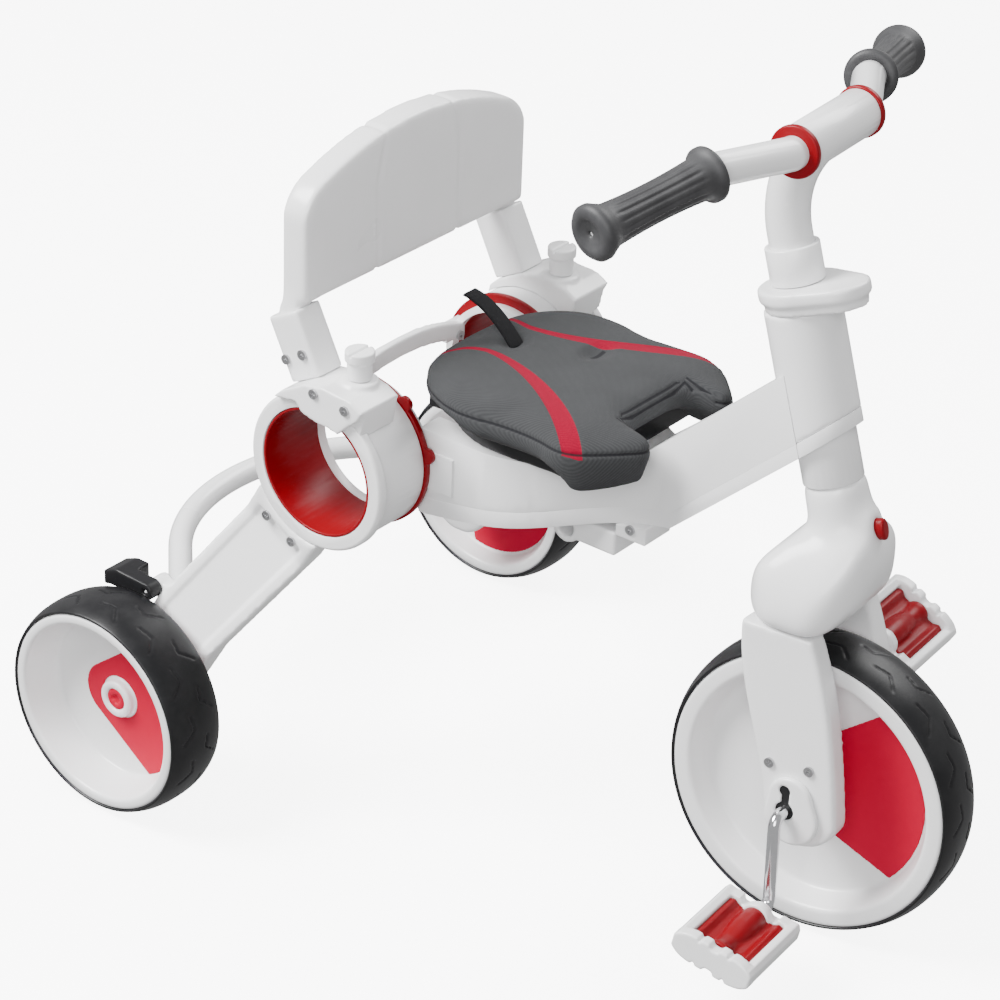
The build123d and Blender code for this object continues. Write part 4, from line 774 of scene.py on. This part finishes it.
# ---- seat ---------------------------------------------------------------------------------
@dataclass
class Seat:
    """Padded cover with red insets and a gusset, on a black tray, with a crotch strap."""

    voxel: float = 4.6 * MM
    start_scale: float = 1.03
    swell_cap: float = 3.5 * MM
    droop: float = 9 * MM
    fall: float = 5 * MM
    rise: float = 9 * MM
    notch: float = 33 * MM
    apex: float = 69 * MM
    lobe_sag: float = 4 * MM
    flare: float = 10 * MM
    taper: float = 16 * MM
    stretch: float = 1.05
    tray_share: float = 0.88
    thin: float = 0.92
    pressure: float = 4.0
    fill: float = 0.7
    frames: int = 20
    seam_drop: float = 13 * MM
    groove: float = 0.9 * MM
    inset_depth: float = 0.7 * MM
    slot: tuple[float, float] = (-6 * MM, 27 * MM)
    slot_half: tuple[float, float] = (1.6 * MM, 8 * MM)
    strap_base: tuple[float, float] = (-59 * MM, 0.0)
    strap_thick: float = 2.2 * MM
    strap_arch: float = 1.45
    strap_rows: int = 22

    def inset_gap(self, points: np.ndarray) -> np.ndarray:
        """Signed distance from each point to the edge of the red insets, negative inside."""
        x, y = points[:, 0], np.abs(points[:, 1])
        ahead = np.clip((x + 66 * MM) / (118 * MM), 0, 1.3)
        behind = np.clip((-66 * MM - x) / (31 * MM), 0, 1.2)
        middle = (25 + 57 * ahead**1.7 + 12 * behind**1.5) * MM
        slope = 57 / 118 * 1.7 * ahead**0.7
        half = (2.2 + 4.6 * smoothstep(-90 * MM, 45 * MM, x)) * MM
        return np.abs(y - middle) / np.sqrt(1 + slope**2) - half

    def swell(self, bm: bmesh.types.BMesh) -> None:
        """Blow the cover up with cloth pressure, and hold each point near where it began."""
        mesh = bpy.data.meshes.new("pad_cloth")
        bm.to_mesh(mesh)
        obj = bpy.data.objects.new("pad_cloth", mesh)
        scene = bpy.context.scene
        scene.collection.objects.link(obj)
        cloth = obj.modifiers.new("air", "CLOTH")
        cloth.settings.use_pressure = True
        cloth.settings.uniform_pressure_force = self.pressure
        cloth.settings.effector_weights.gravity = 0
        cloth.settings.quality = 4
        for step in range(1, self.frames + 1):
            scene.frame_set(step)
        done = evaluated(obj)
        scene.frame_set(1)
        before = np.array([v.co for v in bm.verts])
        after = np.array([v.co for v in done.vertices])
        move = after - before
        length = np.linalg.norm(move, axis=1, keepdims=True)
        move *= np.minimum(1, self.swell_cap / np.maximum(length, FINE))
        for vert, shift in zip(bm.verts, move):
            vert.co += Vector(shift)
        bpy.data.objects.remove(obj)
        bpy.data.meshes.remove(done)
        bpy.data.meshes.remove(mesh)

    def cushion(self, shop: Shop) -> None:
        """The cover: remeshed, swelled, refined, then sewn."""
        low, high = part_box("seat_pad")
        bm = shop.copied("seat_pad")
        scale = Vector((self.start_scale, self.start_scale, self.thin))
        space = Matrix.Translation(-(low + high) / 2)
        bmesh.ops.scale(bm, vec=scale, verts=bm.verts[:], space=space)
        bm = shop.remeshed(bm, self.voxel)
        relax(bm, 12)
        self.bend(bm, low, high)
        self.swell(bm)
        relax(bm, 2)
        for _ in range(2):
            bmesh.ops.subdivide_edges(bm, edges=bm.edges[:], cuts=1, use_grid_fill=True)
            relax(bm, 2)
        self.sew(bm, high.z - self.seam_drop)
        obj = shop.piece("seat_cushion", bm, Look.CLOTH, "frame", "seat_pad")

    def bend(self, bm: bmesh.types.BMesh, low: Vector, high: Vector) -> None:
        """Bend the pad over the beam: its sides and front lobes droop, and the lobes flare."""
        points = np.array([v.co for v in bm.verts])
        lift = np.clip((points[:, 2] - low.z) / (high.z - low.z), 0, 1)
        side = np.abs(points[:, 1]) / high.y
        back = np.clip((low.x + 55 * MM - points[:, 0]) / (55 * MM), 0, 1)
        ahead = smoothstep(-85 * MM, 5 * MM, points[:, 0])
        points[:, 2] -= self.droop * side**4 * ahead
        points[:, 2] -= lift * self.fall * (side**3 * (1 - ahead) + 0.8 * back**2)
        rim = np.maximum(back**2, smoothstep(0.7, 1.0, side) * (1 - ahead))
        points[:, 2] += (1 - lift) * self.rise * rim
        front = smoothstep(48 * MM, 98 * MM, points[:, 0])
        reach = np.abs(points[:, 1])
        inner = self.notch + self.flare * front
        outer = high.y - self.taper * front
        lobe = inner + (reach - self.notch) / (high.y - self.notch) * (outer - inner)
        reach = np.where(reach > self.notch, lobe, reach * inner / self.notch)
        points[:, 1] = np.sign(points[:, 1]) * reach
        points[:, 2] -= self.lobe_sag * front * side
        points[:, 0] = high.x - (high.x - points[:, 0]) * self.stretch
        put(bm, points)

    def piping_gap(self, x: np.ndarray, y: np.ndarray) -> np.ndarray:
        """Distance to the nearer of the two lines of piping round the notch."""
        behind, beside = self.apex - x, y - self.notch
        edge = np.where(
            x > 62 * MM, np.maximum(beside, behind), behind + np.maximum(beside, 0)
        )
        return np.minimum(np.abs(edge - 5 * MM), np.abs(edge - 8.5 * MM))

    def sew(self, bm: bmesh.types.BMesh, seam_z: float) -> None:
        """Sink the seams, the insets and the belt slots, and store where they are."""
        bm.normal_update()
        layers = {name: bm.verts.layers.float.new(name) for name in ("inset", "seam")}
        verts = bm.verts[:]
        points = np.array([v.co for v in verts])
        normals = np.array([v.normal for v in verts])
        x, y = points[:, 0], np.abs(points[:, 1])
        top = smoothstep(0.2, 0.6, normals[:, 2])
        side = smoothstep(0.45, 0.75, np.hypot(normals[:, 0], normals[:, 1]))
        inset = np.where(top > 0.2, self.inset_gap(points), FAR)
        notch = (x > 60 * MM) & (y < 42 * MM)
        gusset = np.where((side > 0.5) & ~notch, np.abs(points[:, 2] - seam_z), FAR)
        round_notch = (top > 0.3) & (x > 52 * MM) & (y < 45 * MM)
        piping = np.where(round_notch, self.piping_gap(x, y), FAR)
        seam = np.minimum(gusset, piping)
        sink = self.groove * (1 - smoothstep(0.0, 2.4 * MM, seam))
        sink += self.inset_depth * (1 - smoothstep(-1.2 * MM, 0.4 * MM, inset)) * top
        dimples = ((self.slot, 4.5 * MM, 15 * MM), (self.strap_base, 4 * MM, 13 * MM))
        for (px, py), depth, reach in dimples:
            near = np.hypot(x - px, (points[:, 1] - py) * 0.7)
            sink += depth * (1 - smoothstep(0.0, reach, near)) * top
        moved = points - normals * sink[:, None]
        # The belt slots are not cut: inside them the seam distance is set to 0, so the cloth paints them
        # with the seams' painted shade.
        slot_x = np.abs(x - self.slot[0]) - self.slot_half[0]
        slot_y = np.abs(points[:, 1] - self.slot[1]) - self.slot_half[1]
        hole = np.where(top > 0.2, np.maximum(slot_x, slot_y) + 0.8 * MM, FAR)
        seam = np.minimum(seam, np.maximum(hole, 0))
        for index, vert in enumerate(verts):
            vert.co = moved[index]
            vert[layers["inset"]] = float(inset[index])
            vert[layers["seam"]] = float(seam[index])

    def strap(self, shop: Shop) -> None:
        """The folded crotch strap that leans back from its slot."""
        low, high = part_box("seat_strap")
        width = (high.y - low.y) * 0.98
        thick, arch = self.strap_thick, self.strap_arch
        reach, rise = (high.x - low.x) * 0.9, (high.z - low.z) * 0.9
        rows = []
        for t in np.arange(self.strap_rows + 1) / self.strap_rows:
            x = high.x - 2 * MM - reach * t**1.15
            rows.append((x, low.z + rise * math.sin(t * arch) / math.sin(arch)))
        outline = rows + [(x + 0.6 * thick, z + thick) for x, z in reversed(rows)]
        bm = bmesh.new()
        prism(bm, outline, -width / 2, width / 2)
        bmesh.ops.recalc_face_normals(bm, faces=bm.faces[:])
        sharp = [edge for edge in bm.edges if edge.calc_face_angle(0.0) > 1.0]
        bmesh.ops.bevel(
            bm, geom=sharp, offset=0.6 * MM, segments=2, profile=0.5, affect="EDGES", material=-1
        )
        shop.piece("seat_strap_loop", bm, Look.STRAP, "frame", "seat_strap", soft=False)

    def slim(self, bm: bmesh.types.BMesh) -> None:
        """Keep the tray's sides well under the cushion."""
        for vert in bm.verts:
            vert.co.y *= self.tray_share

    def build(self, shop: Shop) -> None:
        """Make the seat."""
        shop.moulded("seat_tray", Look.BLACK, 2 * MM, 3, self.slim)
        self.cushion(shop)
        self.strap(shop)


# ---- main frame ---------------------------------------------------------------------------
@dataclass
class MainFrame:
    """Two shells, the head, the red hub cores, the crossbar and the footrest socket."""

    def build(self, shop: Shop) -> None:
        """Make the frame's pieces."""
        for node in ("frame_upper_shell", "frame_lower_shell"):
            shop.eased(node, Look.WHITE, 1.7 * MM, 3)
        for node, voxel, rounds in (
            ("head_shell", 1.6, 2), ("head_flange_plate", 1.5, 3), ("crossbar", 1.5, 3),
            ("footrest_socket", 1.3, 2), ("footrest_block", 1.0, 3),
        ):
            shop.moulded(node, Look.WHITE, voxel * MM, rounds)
        shop.eased("head_tube", Look.WHITE_PAINT, 0.7 * MM)
        shop.crisp("head_bearings", Look.BLACK)
        shop.crisp("frame_screws", Look.STEEL)
        for side in SIDES:
            shop.eased(f"hub_core_{side}", Look.RED, 0.7 * MM)


# ---- rear frame ---------------------------------------------------------------------------
@dataclass
class RearFrame:
    """Rings on the hubs, splayed legs with a sunk outer face, hoop, axles and brakes."""

    face_sink: float = 2.2 * MM
    border: float = 7.5 * MM
    top_half: float = 33 * MM
    narrowing: float = 4 * MM
    ends: tuple[float, float] = (66 * MM, 12 * MM)

    def recess(self, bm: bmesh.types.BMesh, side: float, shop: Shop) -> None:
        """Sink the outer face of a leg between its raised borders."""
        hub = Vector(shop.joints["rear_fold"]["pos_m"])
        axle = Vector(shop.joints["rear_wheel_right_spin"]["pos_m"])
        down = Vector((axle.x - hub.x, 0, axle.z - hub.z))
        run = down.length
        down.normalize()
        across = Vector((down.z, 0, -down.x))
        bm.normal_update()
        for vert in bm.verts:
            if vert.normal.y * side < 0.75:
                continue
            rel = Vector((vert.co.x - hub.x, 0, vert.co.z - hub.z))
            along = rel.dot(down)
            half = self.top_half - self.narrowing * min(along / run, 1)
            inside = half - self.border - abs(rel.dot(across))
            ends = min(along - self.ends[0], run + self.ends[1] - along)
            amount = float(smoothstep(0.0, 3 * MM, np.array(min(inside, ends))))
            vert.co.y -= side * self.face_sink * amount

    def build(self, shop: Shop) -> None:
        """Make the rear frame's pieces."""
        for side, sign in (("right", -1.0), ("left", 1.0)):
            shop.eased(f"hub_ring_{side}", Look.WHITE, 0.8 * MM)
            shop.moulded(
                f"rear_leg_{side}", Look.WHITE, 1.9 * MM, 3, lambda bm, s=sign: self.recess(bm, s, shop)
            )
            shop.moulded(f"brake_lever_{side}", Look.BLACK, 1.2 * MM, 3)
        shop.eased("ring_bezels", Look.WHITE, 0.8 * MM)
        shop.crisp("rear_hoop", Look.WHITE_PAINT)
        shop.crisp("rear_axles", Look.STEEL)
        shop.crisp("rear_screws", Look.STEEL)


# ---- backrest -----------------------------------------------------------------------------
@dataclass
class Backrest:
    """Wide moulded panel on two square sleeves, its clamps and its knobs."""

    crease_y: float = 46 * MM
    crease_depth: float = 1.3 * MM
    crease_half: float = 4 * MM

    def creases(self, bm: bmesh.types.BMesh) -> None:
        """Two soft vertical steps in the panel."""
        bm.normal_update()
        verts = bm.verts[:]
        points = np.array([v.co for v in verts])
        normals = np.array([v.normal for v in verts])
        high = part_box("backrest")[1].z
        bend = self.crease_y - 8 * MM * smoothstep(high - 45 * MM, high, points[:, 2])
        gap = np.abs(np.abs(points[:, 1]) - bend)
        level = points[:, 2] > high - 120 * MM
        sink = self.crease_depth * (1 - smoothstep(0, self.crease_half, gap)) * level
        for index, vert in enumerate(verts):
            if sink[index] > 0:
                vert.co = points[index] - normals[index] * sink[index]

    def build(self, shop: Shop) -> None:
        """Make the backrest's pieces."""
        shop.moulded("backrest", Look.WHITE, 2.1 * MM, 14, self.creases)
        shop.moulded("backrest_brackets", Look.WHITE, 1.6 * MM, 2)
        shop.crisp("backrest_screws", Look.STEEL)
        for side in SIDES:
            shop.moulded(f"clamp_{side}", Look.WHITE, 1.3 * MM, 2)
            shop.moulded(f"knob_{side}", Look.WHITE, 0.9 * MM, 2)


# ---- steering -----------------------------------------------------------------------------
@dataclass
class Steering:
    """Fork, stem, bar, sleeve and fluted grips."""

    flutes: int = 16
    flute_depth: float = 0.9 * MM
    fade: float = 6 * MM
    body: float = 13 * MM
    flange: float = 19 * MM
    bore: float = 11.6 * MM
    grip_rows: int = 30
    grip_steps: int = 176

    def grip_profile(self, length: float) -> Points:
        """Section of a grip: a flange at each end, a waist between, and a recessed outer end."""
        body, flange, bore = self.body, self.flange, self.bore
        start = [(bore, 0), (flange - 3.5 * MM, 0), (flange, 1.6 * MM), (flange, 4.2 * MM)]
        start += [(flange - 2.2 * MM, 6 * MM), (body + 2.4 * MM, 9 * MM)]
        waist = []
        for step in range(self.grip_rows + 1):
            t = step / self.grip_rows
            swell = 1.6 * MM * (2 * t - 1) ** 2
            waist.append((body + swell + 0.2 * MM, 11 * MM + (length - 26 * MM) * t))
        end = (
            (body + 3 * MM, 13), (flange - 1.5 * MM, 9.5), (flange, 6.5), (flange, 3.4),
            (flange - 2 * MM, 1), (flange - 5 * MM, 0), (flange - 8.5 * MM, 0),
            (flange - 9.5 * MM, 1), (3 * MM, 1), (1.5 * MM, 2.5), (1.5 * MM, 4), (bore, 4),
        )
        return start + waist + [(radius, length - back * MM) for radius, back in end]

    def grip(self, shop: Shop, side: str) -> None:
        """A rubber grip: two flanges, a waisted and fluted body, and a closed end."""
        node = f"grip_{side}"
        points = np.array([v.co for v in shop.frame["nodes"][node].data.vertices])
        centre = points.mean(axis=0)
        direction = np.linalg.svd(points - centre, full_matrices=False)[2][0]
        outward = 1.0 if side == "left" else -1.0
        if direction[1] * outward < 0:
            direction = -direction
        along = (points - centre) @ direction
        start, end = float(along.min()), float(along.max())
        length = end - start
        bm = spun(self.grip_profile(length), self.grip_steps)
        first, last = 14 * MM, length - 16 * MM
        for vert in bm.verts:
            radius = math.hypot(vert.co.x, vert.co.z)
            if first < vert.co.y < last and radius > self.body - 0.5 * MM:
                fade = min(1.0, (vert.co.y - first) / self.fade, (last - vert.co.y) / self.fade)
                wave = 0.5 - 0.5 * math.cos(self.flutes * math.atan2(vert.co.z, vert.co.x))
                scale = 1 - self.flute_depth * fade * (1 - wave) ** 2 / radius
                vert.co.x *= scale
                vert.co.z *= scale
        turn = Vector((0, 1, 0)).rotation_difference(Vector(direction)).to_matrix().to_4x4()
        origin = Vector(centre + direction * start)
        bm.transform(Matrix.Translation(origin) @ turn)
        shop.piece(f"{node}_rubber", bm, Look.GRIP, "steering", node)

    def build(self, shop: Shop) -> None:
        """Make the steered pieces."""
        shop.moulded("fork_crown", Look.WHITE, 2.2 * MM, 60, refill=0.97)
        shop.moulded("leg_covers", Look.WHITE, 1.1 * MM, 2)
        shop.moulded("lock_button", Look.RED, 0.8 * MM, 3)
        shop.crisp("stem", Look.WHITE_PAINT)
        shop.eased("stem_collar", Look.WHITE, 1.0 * MM)
        shop.eased("bar_sleeve", Look.WHITE, 0.8 * MM)
        shop.crisp("sleeve_rings", Look.RED)
        shop.crisp("handlebar", Look.WHITE_PAINT)
        shop.crisp("crank_bushings", Look.BLACK)
        shop.crisp("fork_screws", Look.STEEL)
        for side in SIDES:
            shop.moulded(f"fork_leg_{side}", Look.WHITE, 1.6 * MM, 5)
            self.grip(shop, side)


# ---- cranks and pedals --------------------------------------------------------------------
@dataclass
class Pedal:
    """One pedal: two bowed side rails, a toothed outer plate, a stepped boss and a red body."""

    side: str
    tilt: float
    length: float = 75 * MM
    width: float = 63 * MM
    thick: float = 24 * MM
    rail: float = 9 * MM
    voxel: float = 0.8 * MM
    tooth: float = 3.2 * MM
    tooth_pitch: float = 15 * MM
    teeth_half: float = 13 * MM
    steer_turn: float = 6.0

    def place(self, shop: Shop) -> Matrix:
        """From the pedal's own axes, pin along Y and inner end at +Y, to the tricycle."""
        joint = shop.joints[f"pedal_{self.side}_spin"]
        steer = Matrix.Rotation(math.radians(self.steer_turn), 4, Vector(shop.joints["steer"]["axis"]))
        own = Matrix.Rotation(math.radians(self.tilt), 4, "Y")
        if self.side == "left":
            own = own @ Matrix.Rotation(math.pi, 4, "Z")
        return Matrix.Translation(joint["pos_m"]) @ steer @ own

    def toothed(self) -> list[tuple[float, float]]:
        """Outline of the outer plate: rounded ends, and three teeth above and below."""
        half_w, half_t = self.width / 2, self.thick / 2
        top = []
        count = 64
        for step in range(count + 1):
            x = -half_w + self.width * step / count
            bow = 1 - abs(x / half_w) ** 5
            wave = 0.5 + 0.5 * math.cos(x * TURN / self.tooth_pitch)
            middle = abs(x) < self.teeth_half
            notch = self.tooth * float(smoothstep(0.2, 0.8, np.array(wave))) if middle else 0.0
            top.append((x, half_t * (0.42 + 0.58 * bow) - notch - 0.2 * MM))
        return top + [(x, -z) for x, z in reversed(top)]

    def cage(self) -> bmesh.types.BMesh:
        """The white cage."""
        bm = bmesh.new()
        half_l, half_w, half_t = self.length / 2, self.width / 2, self.thick / 2
        prism(bm, self.toothed(), -half_l, -half_l + self.rail)
        rail_outline = [
            (half_w - self.rail, -7 * MM), (half_w - 3 * MM, -8.5 * MM), (half_w, -4 * MM),
            (half_w, 4 * MM), (half_w - 3 * MM, 8.5 * MM), (half_w - self.rail, 7 * MM),
        ]
        for outline in both_ways(rail_outline):
            prism(bm, outline, -half_l + 2 * MM, half_l - 1 * MM)
        inner = [
            (-half_w + 2 * MM, -7 * MM), (-10 * MM, -8 * MM), (10 * MM, -8 * MM), (half_w - 2 * MM, -7 * MM),
            (half_w - 2 * MM, 7 * MM), (16 * MM, 7.5 * MM), (14 * MM, 3 * MM), (-14 * MM, 3 * MM),
            (-16 * MM, 7.5 * MM), (-half_w + 2 * MM, 7 * MM),
        ]
        prism(bm, inner, half_l - self.rail, half_l)
        angles = np.linspace(0, TURN, 48, endpoint=False)
        for inset, start, end in ((0.6 * MM, 12 * MM, 5 * MM), (3.4 * MM, 5.5 * MM, 0.2 * MM)):
            radius = half_t - inset
            ring = [(radius * math.cos(a), radius * math.sin(a)) for a in angles]
            prism(bm, ring, half_l - start, half_l - end)
        bmesh.ops.recalc_face_normals(bm, faces=bm.faces[:])
        return bm

    def body(self) -> bmesh.types.BMesh:
        """The red barrel, waisted between two collars, with a curled wing to each side."""
        bm = bmesh.new()
        half_l = self.length / 2 - self.rail - 1 * MM
        rows = [
            (9.6, -1.0), (9.9, -0.88), (8.2, -0.7), (7.4, -0.4), (9.2, -0.1), (10.3, 0.25),
            (10.3, 0.6), (9.4, 1.0),
        ]
        profile = [(r * MM, y * half_l) for r, y in rows] + [(4.6 * MM, half_l), (4.6 * MM, -half_l)]
        barrel = spun(rounded_corner(profile, 1.6 * MM, 3), 64)
        mesh = bpy.data.meshes.new("barrel")
        barrel.to_mesh(mesh)
        barrel.free()
        bm.from_mesh(mesh)
        bpy.data.meshes.remove(mesh)
        reach = self.width / 2 - self.rail
        wing = [
            (5 * MM, -4.5 * MM), (13 * MM, -5.5 * MM), (reach, -4.6 * MM), (reach, 4.6 * MM),
            (reach - 4 * MM, 6.4 * MM), (14 * MM, 3.2 * MM), (9 * MM, 3.0 * MM), (5 * MM, 5.0 * MM),
        ]
        for outline in both_ways(wing):
            prism(bm, outline, -half_l, half_l)
        bmesh.ops.recalc_face_normals(bm, faces=bm.faces[:])
        return bm

    def build(self, shop: Shop) -> None:
        """Make the cage and the body."""
        place = self.place(shop)
        for bm, look, node in (
            (self.cage(), Look.WHITE, f"pedal_cage_{self.side}"),
            (self.body(), Look.RED, f"pedal_body_{self.side}"),
        ):
            bm = shop.remeshed(bm, self.voxel)
            relax(bm, 3)
            bm.transform(place)
            shop.piece(f"{node}_part", bm, look, f"pedal_{self.side}", node)


@dataclass
class Drive:
    """Crank, pedals and the wheels' red wedges."""

    def build(self, shop: Shop) -> None:
        """Make the driven pieces."""
        shop.eased("crank", Look.CHROME, 0.5 * MM)
        shop.moulded("front_wedges", Look.WEDGE, 0.8 * MM, 1)
        Pedal("right", 11.0).build(shop)
        Pedal("left", 30.0).build(shop)
        for side in SIDES:
            shop.moulded(f"rear_trim_{side}", Look.WEDGE, 0.8 * MM, 1)


# ---- studio -------------------------------------------------------------------------------
@dataclass
class Studio:
    """Pale floor, soft lights and the camera."""

    azimuth: float = 37.6
    elevation: float = 29.39
    roll: float = 2.054
    lens: float = 124.14
    shift: tuple[float, float] = (0.00494, 0.00948)
    camera_at: tuple[float, float, float] = (1.2972, -1.7802, 1.4824)
    floor_half: float = 8.0
    glow: float = 6.5
    sky: float = 0.55
    sensor: float = 36.0
    aim: tuple[float, float, float] = (0.0, 0.0, 0.25)
    lights: tuple[tuple[str, tuple[float, float, float], float, float], ...] = (
        ("key", (-1.5, -1.5, 2.6), 1.5, 270.0),
        ("fill", (1.4, -2.4, 1.8), 1.6, 60.0),
        ("rim", (0.3, 2.2, 2.4), 1.6, 75.0),
    )

    def floor(self) -> None:
        """A large pale floor with a faint unevenness."""
        bm = bmesh.new()
        bmesh.ops.create_grid(bm, x_segments=1, y_segments=1, size=self.floor_half)
        mesh = bpy.data.meshes.new("floor")
        bm.to_mesh(mesh)
        bm.free()
        obj = bpy.data.objects.new("floor", mesh)
        bpy.context.scene.collection.objects.link(obj)
        g = Graph("pale_floor")
        cloud = g.noise(0.8, 2)
        base = g.mixed(cloud, (0.86, 0.86, 0.865, 1), (0.88, 0.88, 0.885, 1))
        glow = g.mixed(cloud, (1.0, 1.0, 1.0, 1), (0.99, 0.99, 0.995, 1))
        floor = g.finish(
            Base_Color=base, Roughness=0.3 + cloud * 0.1, Specular_IOR_Level=0.3,
            Emission_Color=glow, Emission_Strength=self.glow,
        )
        obj.data.materials.append(floor)
        obj.visible_diffuse = False
        obj.visible_glossy = False

    def light(self) -> None:
        """Soft boxes round the object under a bright, even sky."""
        world = bpy.data.worlds.new("studio")
        world.use_nodes = True
        sky = world.node_tree.nodes["Background"]
        sky.inputs["Color"].default_value = (1.0, 1.0, 1.0, 1.0)
        sky.inputs["Strength"].default_value = self.sky
        bpy.context.scene.world = world
        for name, place, size, power in self.lights:
            data = bpy.data.lights.new(name, "AREA")
            data.energy = power
            data.size = size
            lamp = bpy.data.objects.new(name, data)
            lamp.location = place
            lamp.rotation_euler = (Vector(self.aim) - Vector(place)).to_track_quat("-Z", "Y").to_euler()
            bpy.context.scene.collection.objects.link(lamp)

    def camera(self) -> None:
        """A long lens that looks down at the right side from the front."""
        a, e, r = (math.radians(v) for v in (self.azimuth, self.elevation, self.roll))
        back = Vector((math.sin(a) * math.cos(e), -math.cos(a) * math.cos(e), math.sin(e)))
        right = Vector((math.cos(a), math.sin(a), 0))
        up = back.cross(right)
        rolled_right = right * math.cos(r) + up * math.sin(r)
        rolled_up = up * math.cos(r) - right * math.sin(r)
        turn = Matrix((rolled_right, rolled_up, back)).transposed().to_4x4()
        data = bpy.data.cameras.new("camera")
        data.lens = self.lens
        data.sensor_width = self.sensor
        data.shift_x, data.shift_y = self.shift
        camera = bpy.data.objects.new("camera", data)
        camera.matrix_world = Matrix.Translation(self.camera_at) @ turn
        bpy.context.scene.collection.objects.link(camera)
        bpy.context.scene.camera = camera

    def build(self) -> None:
        """Set up floor, light and camera."""
        self.floor()
        self.light()
        self.camera()


def main() -> None:
    """Build the tricycle round the frame."""
    logging.basicConfig(level=logging.INFO, format="%(name)s %(message)s")
    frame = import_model()
    shop = Shop(frame)
    Studio().build()
    for part in (MainFrame(), RearFrame(), Backrest(), Steering(), Drive(), Seat()):
        part.build(shop)
    for wheel in (rear_wheel("right", 1.0), rear_wheel("left", -1.0), front_wheel()):
        wheel.build(shop)


if __name__ == "__main__":
    main()
